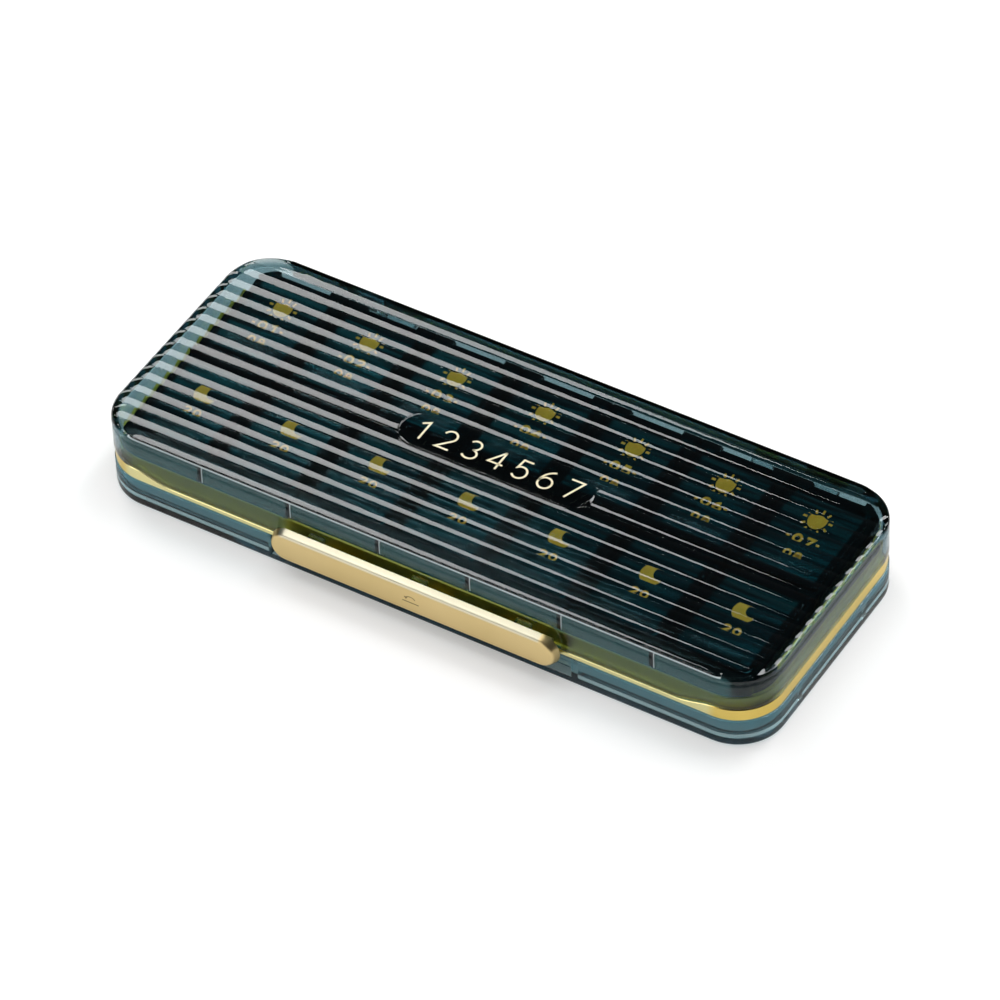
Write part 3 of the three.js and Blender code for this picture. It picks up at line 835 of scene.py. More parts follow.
@dataclass(frozen=True)
class CaseShape:
    """What tub, collar and lid share: the plan outline with round corners, and the dip along the front."""

    length: float = 180.0
    depth: float = 70.4
    corner: float = 12.2
    dip_half: float = 68.0
    dip_ramp: float = 11.0

    @property
    def core(self) -> np.ndarray:
        """Half sizes of the rectangle that the corner centres lie on."""
        return np.array([self.length / 2 - self.corner, self.depth / 2 - self.corner])

    def half_width(self, y: np.ndarray, inset: float) -> np.ndarray:
        """Half length of the outline at one Y: the core, plus a right triangle's leg on its radius."""
        radius = self.corner - inset
        beyond = np.clip(np.abs(y) - self.core[1], 0.0, radius)
        return self.core[0] + np.sqrt(np.maximum(radius**2 - beyond**2, 0.0))

    def dip(self, loop: Loop, low: float, high: float, shift: float = 0.0) -> np.ndarray:
        """Height of an edge that is high all round, and low along the front between two smooth ramps."""
        ramp = smooth_step(np.abs(loop.x), self.dip_half + shift, self.dip_half + self.dip_ramp + shift)
        return np.where(loop.front_side, low + (high - low) * ramp, high)

    def loop(self, right: np.ndarray, turn: int = 14, side: int = 12) -> Loop:
        """Goes once round the outline, with the given X places and their mirror images along front and back.

        Args:
            right: X places from the middle to the right, all on the straight part.
            turn: steps in each corner.
            side: steps along each short side.

        Returns:
            The loop, from the front left on, anticlockwise.
        """
        half_x, half_y = self.core
        along = np.concatenate([[-half_x], mirrored(right), [half_x]])
        across = np.linspace(-half_y, half_y, side + 1)
        quarter = np.radians(np.linspace(-90, 0, turn + 1))[1:-1]
        sides = ((along, np.full_like(along, -half_y)), (np.full_like(across, half_x), across),
                 (along[::-1], np.full_like(along, half_y)), (np.full_like(across, -half_x), across[::-1]))
        cores, angles = [], []
        for number, corner in enumerate(box((-half_x, half_x), (-half_y, half_y))[[1, 2, 3, 0]]):
            straight, way = np.column_stack(sides[number]), number * math.pi / 2
            cores += [straight, np.tile(corner, (len(quarter), 1))]
            angles += [np.full(len(straight), way - math.pi / 2), quarter + way]
        core, angle = np.concatenate(cores), np.concatenate(angles)
        return Loop(core, np.column_stack([np.cos(angle), np.sin(angle)]), np.full(len(core), self.corner))


def turned(profile: Sequence[tuple[float, float]], y: float, z: float, steps: int) -> np.ndarray:
    """Rings round an axis along X, one for each radius and X of a profile.

    Args:
        profile: a radius and an X for each ring.
        y: Y of the axis.
        z: Z of the axis.
        steps: points in each ring.

    Returns:
        The rings as one array.
    """
    angle = np.linspace(0, 2 * math.pi, steps, endpoint=False)
    circle = np.column_stack([np.cos(angle), np.sin(angle)])
    return np.stack([on_x(circle * radius + np.array([y, z]), x) for radius, x in profile])


@dataclass(frozen=True)
class PinRing:
    """A knuckle or lug: a short tube round a pin, with rounded rims."""

    y: float
    z: float
    outer: float
    inner: float
    rim: float = 0.12
    steps: int = 40

    def build(self, skin: Skin, start: float, end: float) -> None:
        """Adds the tube from one X to another: its rings go out, along, in and back along the bore."""
        profile = [(self.inner, start), (self.outer - self.rim, start), (self.outer, start + self.rim),
                   (self.outer, end - self.rim), (self.outer - self.rim, end), (self.inner, end)]
        skin.loft(turned(profile, self.y, self.z, self.steps), caps=False)


@dataclass(frozen=True)
class CaseHinge:
    """Where the two groups of knuckles stand."""

    y: float = 37.4
    z: float = 10.0
    radius: float = 1.7
    bore: float = 1.0
    spacing: float = 58.0
    width: float = 7.6
    gap: float = 0.3
    wall_y: float = 34.3
    gusset_in: float = 0.05

    def knuckles(self, skin: Skin, gusset: np.ndarray, starts: Sequence[float]) -> None:
        """Knuckles on a gusset, at each start from the middle of each group."""
        for centre in (-self.spacing, self.spacing):
            for start in starts:
                low, high = centre + start, centre + start + self.width
                PinRing(self.y, self.z, self.radius, self.bore).build(skin, low, high)
                skin.prism(gusset, Layer(on_x, low + self.gusset_in, high - self.gusset_in))

    def lid_parts(self, skin: Skin) -> None:
        """One knuckle in each group, with a gusset up to the lid's wall."""
        gusset = np.array([(self.wall_y, 12.03), (35.9, 12.03), (36.4, 11.42), (38.0, 11.42), (38.85, 10.9),
                           (35.0, 15.9), (self.wall_y, 16.4)])
        self.knuckles(skin, gusset, [-self.width / 2])

    def base_parts(self, skin: Skin) -> None:
        """Two knuckles in each group, with gussets down to the tub's wall."""
        gusset = np.array([(self.wall_y, 4.1), (38.85, 9.1), (38.0, 8.58), (36.4, 8.58), (35.75, 8.9),
                           (35.7, 8.0), (self.wall_y, 7.95)])
        inner = self.width / 2 + self.gap
        self.knuckles(skin, gusset, [-inner - self.width, inner])


@dataclass(frozen=True)
class LatchPin:
    """The pin that the latch bar turns on, and the three lugs of the lid that carry it."""

    y: float = -36.3
    z: float = 12.6
    bore: float = 0.7
    lugs: tuple[float, float, float] = (-28.0, 0.0, 28.0)


@dataclass
class OuterLid:
    """Clear lid: fifteen ribs, a flat pad for numerals, and a skirt with a latch pocket and a front lip."""

    shape: CaseShape = CaseShape()
    pin: LatchPin = LatchPin()
    wall: float = 1.6
    border: float = 0.8
    plain_top: float = 21.6
    shoulder: float = 20.3
    rib_count: int = 15
    rib_height: float = 0.4
    rib_room: float = 9.3
    pad_half: float = 26.0
    pad_radius: float = 5.6
    pad_y: float = 0.3
    pad_top: float = 22.27
    pad_edge: float = 0.22
    shoulder_start: float = 15.0
    back_edge: float = 0.3
    back_turn: Span = (0.1, 0.8)
    ceiling: float = 20.0
    ceiling_round: float = 0.8
    inner_z: float = 15.0
    skirt_end: float = 13.4
    edge: float = 12.0
    lip: float = 9.9
    rim_round: float = 0.22
    pocket_half: float = 38.3
    pocket_radius: float = 5.2
    pocket_top: float = 17.0
    pocket_depth: float = 0.8
    pocket_edge: float = 0.28
    lug_radius: float = 1.05
    lug_rim: float = 0.08
    lug_half: float = 2.0
    arm_in: float = 0.03
    plain_step: float = 3.4
    pad_step: float = 0.3
    pocket_step: float = 0.36
    column_gap: float = 0.15
    row_gap: float = 0.035

    @property
    def pitch(self) -> float:
        """Distance from rib to rib."""
        return self.shape.depth / self.rib_count

    def height(self, x: np.ndarray, y: np.ndarray) -> np.ndarray:
        """Height of the top.

        Each rib is its height times 1 less q squared, where q is the distance from the rib's spine over half
        a pitch, and the spine ends where a circle of the corner's room says, so that rib ends are round. The
        pad is a stadium whose edge rises over a short smooth step.
        """
        last = (self.rib_count - 1) // 2
        spine = np.clip(np.round(y / self.pitch), -last, last) * self.pitch
        beyond = np.clip(np.abs(spine) - self.shape.core[1], 0.0, self.rib_room)
        reach = self.shape.core[0] + np.sqrt(self.rib_room**2 - beyond**2)
        away = np.hypot(np.maximum(np.abs(x) - reach, 0.0), y - spine) / (self.pitch / 2)
        rib = self.plain_top + self.rib_height * np.maximum(1.0 - away**2, 0.0)
        on_pad = below(past_stadium(x, y - self.pad_y, self.pad_half, self.pad_radius), 0.0, self.pad_edge)
        return rib * (1.0 - on_pad) + self.pad_top * on_pad

    def rows(self) -> np.ndarray:
        """Y places of the top grid: close at the valleys, at the pad's edges and in the corners."""
        half = self.shape.depth / 2 - self.border
        share = mirrored(np.array([0.14, 0.28, 0.42, 0.56, 0.69, 0.8, 0.89, 0.95, 0.985, 1.0]))
        last = (self.rib_count - 1) // 2
        spines = np.arange(-last, last + 1) * self.pitch
        ribs = (spines[:, None] + share[None, :] * self.pitch / 2).ravel()
        step = np.arange(-1.5, 1.6, 0.5) * self.pad_edge
        pad = np.concatenate([self.pad_y - self.pad_radius + step, self.pad_y + self.pad_radius + step])
        rise = np.sin(np.radians(np.arange(0, 90, 4)))
        turn = self.shape.core[1] + (self.shape.corner - self.border) * rise
        places = merge_places([ribs[np.abs(ribs) < half - 0.03], pad, turn, -turn], self.row_gap)
        return np.concatenate([[-half], places[np.abs(places) < half - 0.02], [half]])

    def columns(self) -> np.ndarray:
        """X places of the middle of the top grid: close at the round ends of the pad and of the pocket."""
        return mirrored(merge_places([
            np.arange(3.0, 71.0, self.plain_step),
            np.arange(self.pad_half - self.pad_radius, self.pad_half + 0.7, self.pad_step),
            np.arange(self.pocket_half - self.pocket_radius, self.pocket_half + 0.8, self.pocket_step),
            self.shape.dip_half + np.arange(-1.0, 4.0)], self.column_gap))

    def top_grid(self) -> np.ndarray:
        """The top as a grid of points: rows across, columns at fixed steps in from both ends of each row."""
        step = np.array([0, 0.12, 0.25, 0.4, 0.58, 0.78, 1.0, 1.25, 1.5, 1.75, 2.0, 2.25, 2.55, 2.9, 3.4, 4.2,
                         5.4])
        y, middle = self.rows(), self.columns()
        left = step[None, :] - self.shape.half_width(y, self.border)[:, None]
        x = np.concatenate([left, np.broadcast_to(middle, (len(y), len(middle))), -left[:, ::-1]], axis=1)
        depth = np.broadcast_to(y[:, None], x.shape)
        return np.stack([x, depth, self.height(x, depth)], axis=-1)

    def pocket(self, loop: Loop, z: Number) -> np.ndarray:
        """Depth of the latch pocket: full inside a stadium on the front, none outside."""
        up = z - (self.pocket_top - self.pocket_radius)
        outside = past_stadium(loop.x, up, self.pocket_half, self.pocket_radius)
        return np.where(loop.front, self.pocket_depth * below(outside, 0.0, self.pocket_edge), 0.0)

    def walls(self, border: np.ndarray) -> list[np.ndarray]:
        """Rings from the top's border down the skirt, round its rim, up inside and over to the ceiling.

        The shoulder is part of an ellipse, and at the back a small quarter circle takes its place.
        """
        core = np.clip(border[:, :2], -self.shape.core, self.shape.core)
        out = (border[:, :2] - core) / np.linalg.norm(border[:, :2] - core, axis=1, keepdims=True)
        loop = Loop(core, out, np.full(len(core), self.shape.corner))
        top, soft = border[:, 2], self.rim_round
        back = smooth_step(out[:, 1], *self.back_turn)
        rings = []
        for angle, tight in np.radians(np.linspace([self.shoulder_start, 0.0], [90.0, 90.0], 6)):
            inset = self.border * (1.0 - math.sin(angle))
            height = self.shoulder + (top - self.shoulder) * math.cos(angle)
            inset = inset + (self.back_edge * (1.0 - math.sin(tight)) - inset) * back
            height = height + (top - self.back_edge * (1.0 - math.cos(tight)) - height) * back
            rings.append(loop.ring(inset, height))
        low = self.shape.dip(loop, self.lip, self.edge)
        foot = low + soft
        heights = [19.4, 18.4, 17.6, 17.35, 17.2, 17.1, 17.0, 16.9, 16.8, 16.65, 16.4, 16.0, 15.3, 14.4,
                   self.skirt_end]
        heights += [foot + (self.skirt_end - foot) * share for share in (0.66, 0.33, 0.0)]
        rings += loop.rings([(self.pocket(loop, z), z) for z in heights])
        rings += loop.bend(self.pocket(loop, low) + soft, foot, soft, (210, 240, 270))
        rings += loop.bend(self.wall - soft, foot, soft, (270, 300, 330, 360))
        rings.append(loop.ring(self.wall, self.inner_z))
        bend = self.ceiling_round
        return rings + loop.bend(self.wall + bend, self.ceiling - bend, bend, (180, 157.5, 135, 112.5, 90))

    def dress(self, materials: Materials) -> None:
        """Makes the lid with its knuckles and three lugs, each a ring on an arm from the pocket's wall."""
        skin = Skin()
        skin.shell(self.top_grid(), self.walls)
        arm = np.array([(-35.5, 11.65), (-34.0, 11.6), (-34.0, 13.6), (-35.5, 13.55)])
        lug = PinRing(self.pin.y, self.pin.z, self.lug_radius, self.pin.bore, self.lug_rim)
        for centre in self.pin.lugs:
            low, high = centre - self.lug_half, centre + self.lug_half
            lug.build(skin, low, high)
            skin.prism(arm, Layer(on_x, low + self.arm_in, high - self.arm_in))
        CaseHinge().lid_parts(skin)
        add_piece(skin.mesh("outer_lid_fine", 38.0), materials[Finish.LID], "lid", ["outer_lid"])


@dataclass
class BaseTub:
    """Clear tub: rounded foot edge, a finger recess behind the latch bar, and low stops on its floor."""

    shape: CaseShape = CaseShape()
    wall: float = 1.6
    floor: float = 1.6
    rim: float = 8.0
    rim_round: float = 0.2
    foot_round: float = 1.2
    recess_half: float = 40.7
    recess_depth: float = 2.5
    recess_wall: float = 1.3
    recess_ramp: float = 0.05
    ledge: float = 2.3
    ledge_round: float = 0.12
    floor_edge: Span = (0.15, 0.5)
    stop_x: Span = (85.55, 88.9)
    stop_y: float = 15.0
    stop_half: float = 0.7
    stop_top: float = 4.8
    stop_root: float = 0.3

    def recess(self, loop: Loop, half: float, depth: float) -> np.ndarray:
        """Depth of a recess along the middle of the front, between two short smooth steps."""
        return np.where(loop.front, depth * below(np.abs(loop.x), half, self.recess_ramp), 0.0)

    def dress(self, materials: Materials) -> None:
        """Makes the tub: rings from the underside up the outside, over the rim and down to the floor.

        Behind the recess the inner face stands back by the recess's own wall.
        """
        ends = np.array([-0.06, -0.02, 0.02, 0.06])
        inner_half = self.recess_half + self.recess_wall
        loop = self.shape.loop(np.unique(np.concatenate([
            np.arange(4.0, 76.0, 4.0), self.recess_half + ends, inner_half + ends])))
        outer = self.recess(loop, self.recess_half, self.recess_depth)
        inner = self.wall + self.recess(loop, inner_half, self.recess_depth + self.recess_wall - self.wall)
        foot, soft, rim, ledge = self.foot_round, self.rim_round, self.rim, self.ledge_round
        cut, (near, far) = soft * 0.3, self.floor_edge
        section = [(0.0, self.ledge - ledge), (np.minimum(outer, ledge), self.ledge),
                   (outer, self.ledge + 0.02), (outer, rim - soft), (outer + cut, rim - cut),
                   (outer + soft, rim), (inner - soft, rim), (inner - cut, rim - cut), (inner, rim - soft),
                   (inner, self.floor + far), (inner + near, self.floor + near), (inner + far, self.floor)]
        rings = loop.bend(foot, foot, foot, (270, 252, 234, 216, 198, 180)) + loop.rings(section)
        skin = Skin()
        skin.loft(np.stack(rings))
        near, far = self.stop_x
        for x in ((-far, -near), (near, far)):
            for middle in (-self.stop_y, self.stop_y):
                outline = box(x, (middle - self.stop_half, middle + self.stop_half))
                skin.prism(outline, Layer(on_z, self.floor - self.stop_root, self.stop_top))
        CaseHinge().base_parts(skin)
        add_piece(skin.mesh("base_tub_fine"), materials[Finish.TUB], "base", ["base_tray"])


@dataclass
class TrimCollar:
    """Gold collar: a band between tub and lid, with an upstand and a foot behind the walls of both."""

    shape: CaseShape = CaseShape()
    face: float = 0.2
    behind: float = 1.9
    inner: float = 2.9
    top: float = 14.3
    band_low: float = 8.3
    band_high: float = 11.7
    band_dip: float = 9.6
    dip_shift: float = 0.3
    foot: float = 6.4
    foot_gap_half: float = 42.3
    bevel: float = 0.16
    tab_half: float = 5.2
    tab_low: float = 5.2
    tab_high: float = 7.6

    def dress(self, materials: Materials) -> None:
        """Makes the bright band, and the wall behind it in a darker copy of the gold that is painted shade:
        closed sections carried round the outline.

        The band's top edge dips at the front, and the wall stands up behind the lid and down behind the tub.
        """
        loop = self.shape.loop(np.unique(np.concatenate([
            np.arange(4.0, 76.0, 4.0), self.foot_gap_half + np.array([-0.04, 0.04]),
            np.arange(self.shape.dip_half, 77.5, 0.8)])))
        high = self.shape.dip(loop, self.band_dip, self.band_high, self.dip_shift)
        bevel, root = self.bevel, self.behind + 0.3
        face, low, top = self.face, self.band_low, self.top
        section = [(root, low), (face + bevel, low), (face, low + bevel), (face, high - bevel),
                   (face + bevel, high), (root, high)]
        band = Skin()
        band.loft(np.stack(loop.rings(section)), caps=False)
        gone = loop.front & (np.abs(loop.x) < self.foot_gap_half)
        foot = np.where(gone, low - 0.02, self.foot)
        section = [(self.inner, foot), (self.behind, foot), (self.behind, top - bevel),
                   (self.behind + bevel, top), (self.inner - bevel, top), (self.inner, top - bevel)]
        wall = Skin()
        wall.loft(np.stack(loop.rings(section)), caps=False)
        near, far = self.shape.depth / 2 - self.inner, self.shape.depth / 2 - self.behind
        for day in DAYS.numbers:
            for y in ((-far, -near), (near, far)):
                x = DAYS.middle(day)
                outline = box((x - self.tab_half, x + self.tab_half), y)
                wall.prism(outline, Layer(on_z, self.tab_low, self.tab_high))
        mesh = band.mesh("trim_band_fine", 25.0)
        add_piece(mesh, materials[Finish.BRIGHT], "base", ["trim_collar"])
        # the wall in the darker gold that is painted shade
        add_piece(wall.mesh("trim_wall_fine", 25.0), materials[Finish.SHADED_GOLD], "base")


@dataclass
class LatchBar:
    """Satin gold flip bar: a long stadium with a round front edge, barrels on its pin, and two noses."""

    pin: LatchPin = LatchPin()
    half: float = 39.0
    radius: float = 4.55
    middle: float = 10.25
    front: float = -38.88
    back: float = -36.7
    slope: float = 22.0
    edge: float = 0.75
    shoulder: float = 1.0
    back_edge: float = 0.2
    barrel: float = 1.0
    barrel_half: float = 36.5
    slot_half: float = 2.3
    nose_places: Span = (-20.0, 20.0)
    nose_half: float = 4.5
    mark_depths: Span = (-0.015, 0.1)
    arrow_width: float = 0.24
    dash_width: float = 0.3

    def outline(self, inset: float, steps: int = 20) -> np.ndarray:
        """The stadium drawn in by an inset: two half circles joined by straight runs of close points."""
        radius = self.radius - inset
        flat = self.half - self.radius
        run = np.linspace(-flat, flat, 26)[1:-1]
        right = arc((flat, self.middle), (radius, radius), -90, 90, steps)
        left = arc((-flat, self.middle), (radius, radius), 90, 270, steps)
        top = np.column_stack([run[::-1], np.full(len(run), self.middle + radius)])
        bottom = np.column_stack([run, np.full(len(run), self.middle - radius)])
        return np.concatenate([right, top, left, bottom])

    def build(self) -> bpy.types.Mesh:
        """Makes the bar's mesh: rings from the back face down a slope, then part of an ellipse to the front.

        The ellipse starts at the angle whose tangent is the slope's times the ellipse's depth over its
        height, so that the two meet smoothly.
        """
        tilt = math.tan(math.radians(self.slope))
        start = math.atan(tilt * self.shoulder / self.edge)
        reach = self.front + self.shoulder * (1 - math.sin(start))
        behind = self.back - self.back_edge
        drop = (behind - reach) * tilt
        section = [(self.back_edge, self.back), (0.0, behind), (drop / 2, (behind + reach) / 2),
                   (drop, reach)]
        for angle in np.linspace(start, math.pi / 2, 9)[1:]:
            inset = drop + self.edge * (math.cos(start) - math.cos(angle))
            section.append((inset, self.front + self.shoulder * (1 - math.sin(angle))))
        skin = Skin()
        skin.loft(np.stack([on_y(self.outline(inset), y) for inset, y in section]))
        tube = PinRing(self.pin.y, self.pin.z, self.barrel, self.pin.bore, 0.1)
        gaps = [place + side for place in self.pin.lugs for side in (-self.slot_half, self.slot_half)]
        ends = [-self.barrel_half, *gaps, self.barrel_half]
        for low, high in zip(ends[::2], ends[1::2]):
            tube.build(skin, low, high)
        nose = np.array([(-37.8, 5.8), (-35.3, 6.6), (-35.3, 8.0), (-37.8, 8.0)])
        for x in self.nose_places:
            skin.prism(nose, Layer(on_x, x - self.nose_half, x + self.nose_half))
        return skin.mesh("latch_bar_fine", 30.0)

    def mark(self) -> bpy.types.Mesh:
        """A small bent arrow and a bar under it, sunk flush in the front face."""
        skin = Skin()
        layer = Layer(on_y, *(self.front + depth for depth in self.mark_depths))
        bend = arc((0.0, self.middle + 0.25), (1.25, 0.85), 15, 165, 14)
        skin.ribbon(bend, self.arrow_width, layer)
        skin.prism(bend[-1] + np.array([(-0.55, 0.25), (0.45, 0.3), (0.0, -0.55)]), layer)
        dash = np.array([(-2.2, self.middle - 0.7), (2.2, self.middle - 0.7)])
        skin.ribbon(dash, self.dash_width, layer)
        return skin.mesh("latch_mark")

    def dress(self, materials: Materials) -> None:
        """Puts the bar and its mark into the scene."""
        add_piece(self.build(), materials[Finish.SATIN], "latch", ["latch_bar"])
        add_piece(self.mark(), materials[Finish.ENGRAVED], "latch")


def digit_strokes() -> list[list[np.ndarray]]:
    """Middle lines of the strokes of 0 to 8, in a box one unit high and 0.6 wide."""
    return [
        [arc((0.3, 0.5), (0.29, 0.5), 0, 351, 39)],
        [np.array([(0.08, 0.82), (0.36, 1.0), (0.36, 0.0)])],
        [np.concatenate([arc((0.3, 0.71), (0.27, 0.29), 165, -38, 16), [(0.02, 0.0), (0.58, 0.0)]])],
        [arc((0.29, 0.755), (0.24, 0.245), 150, -90, 16), arc((0.29, 0.255), (0.29, 0.255), 90, -150, 18)],
        [np.array([(0.45, 0.0), (0.45, 1.0)]), np.array([(0.45, 1.0), (0.0, 0.3), (0.62, 0.3)])],
        [np.concatenate([[(0.53, 1.0), (0.13, 1.0), (0.08, 0.55)],
                         arc((0.28, 0.32), (0.29, 0.32), 118, -145, 18)])],
        [arc((0.3, 0.3), (0.28, 0.3), 0, 351, 39), arc((0.62, 0.33), (0.6, 0.67), 105, 180, 12)],
        [np.array([(0.02, 1.0), (0.58, 1.0), (0.2, 0.0)])],
        [arc((0.3, 0.76), (0.22, 0.24), 0, 351, 39), arc((0.3, 0.26), (0.28, 0.26), 0, 351, 39)],
    ]


@dataclass(frozen=True)
class Numeral:
    """Plain numerals drawn with strokes of one weight."""

    height: float
    weight: float
    stretch: float
    step: float
    joint: float = 0.1

    def write(self, skin: Skin, text: str, centre: Span, layer: Layer) -> None:
        """Adds a row of digits. A stroke whose ends are nearer than a joint closes on itself.

        Args:
            skin: takes the digits.
            text: the digits.
            centre: X and Y of the row's middle.
            layer: the depths that the strokes fill.
        """
        size = np.array([self.height * self.stretch, self.height])
        strokes = digit_strokes()
        for place, digit in enumerate(text):
            along = np.array([(place - (len(text) - 1) / 2) * self.step, 0.0])
            corner = np.array(centre) + along - size * [0.3, 0.5]
            for path in strokes[int(digit)]:
                closed = bool(np.linalg.norm(path[0] - path[-1]) < self.joint)
                inner = path * (1 - self.weight / self.height * np.array([0.5, 1.0])) * size
                skin.ribbon(corner + inner + self.weight / 2, self.weight, layer, closed)


@dataclass
class DayPrints:
    """Gold signs and numbers on one day's two lids."""

    day: int
    layer: Layer = Layer(on_z, 18.39, 18.43)
    day_number: Numeral = Numeral(2.5, 0.6, 1.5, 3.1)
    hour: Numeral = Numeral(2.1, 0.5, 1.5, 2.7)
    stroke: float = 0.5
    sun_y: float = 22.2
    sun_radius: float = 2.35
    ray: Span = (2.8, 3.8)
    number_y: float = 15.4
    dash: Span = (3.5, 4.3)
    morning_hour_y: float = 10.3
    evening_hour_y: float = -17.7

    def morning(self, skin: Skin, x: float) -> None:
        """A round sun with twelve short rays, the day's number between two dashes, and the hour."""
        skin.prism(arc((x, self.sun_y), (self.sun_radius,) * 2, 0, 350, 35), self.layer)
        for angle in np.radians(np.arange(0, 360, 30)):
            ray = np.outer(self.ray, [math.cos(angle), math.sin(angle)])
            skin.ribbon(np.array([x, self.sun_y]) + ray, self.stroke, self.layer)
        self.day_number.write(skin, f"0{self.day}", (x, self.number_y), self.layer)
        for side in (-1, 1):
            dash = np.array([(x + side * end, self.number_y) for end in self.dash])
            skin.ribbon(dash, self.stroke, self.layer)
        self.hour.write(skin, "08", (x, self.morning_hour_y), self.layer)

    def evening(self, skin: Skin, x: float) -> None:
        """A fat crescent moon, which is an ellipse less a smaller one off its middle, and the hour."""
        outer = arc((x, -11.6), (3.0, 2.7), 60, 338, 36)
        inner = arc((x + 1.75, -10.75), (1.75, 1.7), 300, 90, 26)
        skin.prism(np.concatenate([outer, inner]), self.layer)
        self.hour.write(skin, "20", (x, self.evening_hour_y), self.layer)

    def dress(self, materials: Materials) -> None:
        """Puts both prints of the day into the scene."""
        for half, draw in ((Half.MORNING, self.morning), (Half.EVENING, self.evening)):
            skin = Skin()
            draw(skin, DAYS.middle(self.day))
            mesh = skin.mesh(f"print_{half.value}_{self.day}")
            add_piece(mesh, materials[Finish.PRINT_GOLD], f"{half.value}_{self.day}")


@dataclass
class PadNumerals:
    """The seven day numbers in pale foil on the lid's pad."""

    y: float = 0.3
    layer: Layer = Layer(on_z, 22.26, 22.29)
    size: Numeral = Numeral(6.5, 0.52, 1.0, 6.75)

    def dress(self, materials: Materials) -> None:
        """Puts the numbers into the scene."""
        skin = Skin()
        self.size.write(skin, "1234567", (0.0, self.y), self.layer)
        add_piece(skin.mesh("pad_numerals"), materials[Finish.PRINT_CREAM], "lid")


@dataclass(frozen=True)
class PlatePlan:
    """Plan of a day lid's plate: a rectangle with one radius at its near corners and one at its far."""

    x: float
    half: float
    near: float
    far: float
    near_round: float
    far_round: float

    def half_width(self, y: np.ndarray, inset: float) -> np.ndarray:
        """Half width at one Y: each corner takes off its radius, less a right triangle's leg on it."""
        cuts = []
        for radius, beyond in ((self.near_round, self.near + self.near_round - y),
                               (self.far_round, y - self.far + self.far_round)):
            reach = radius - inset
            cuts.append(reach - np.sqrt(np.maximum(reach**2 - np.clip(beyond, 0.0, reach)**2, 0.0)))
        return self.half - inset - np.maximum(*cuts)

    def rows(self, inset: float) -> np.ndarray:
        """Y places that follow both pairs of corners in equal angles."""
        turn = np.sin(np.radians(np.arange(0, 91, 15)))
        near = self.near + self.near_round - (self.near_round - inset) * turn
        far = self.far - self.far_round + (self.far_round - inset) * turn
        return np.concatenate([near, far])

    def loop(self, plan: np.ndarray) -> Loop:
        """Turns points on the outline into centres, outward directions and radii."""
        y = plan[:, 1]
        low, high = self.near + self.near_round, self.far - self.far_round
        radius = np.where(y < low, self.near_round, np.where(y > high, self.far_round, 1.0))
        across = np.clip(plan[:, 0] - self.x, radius - self.half, self.half - radius) + self.x
        core = np.column_stack([across, np.clip(y, low, high)])
        return Loop(core, (plan - core) / np.linalg.norm(plan - core, axis=1, keepdims=True), radius)


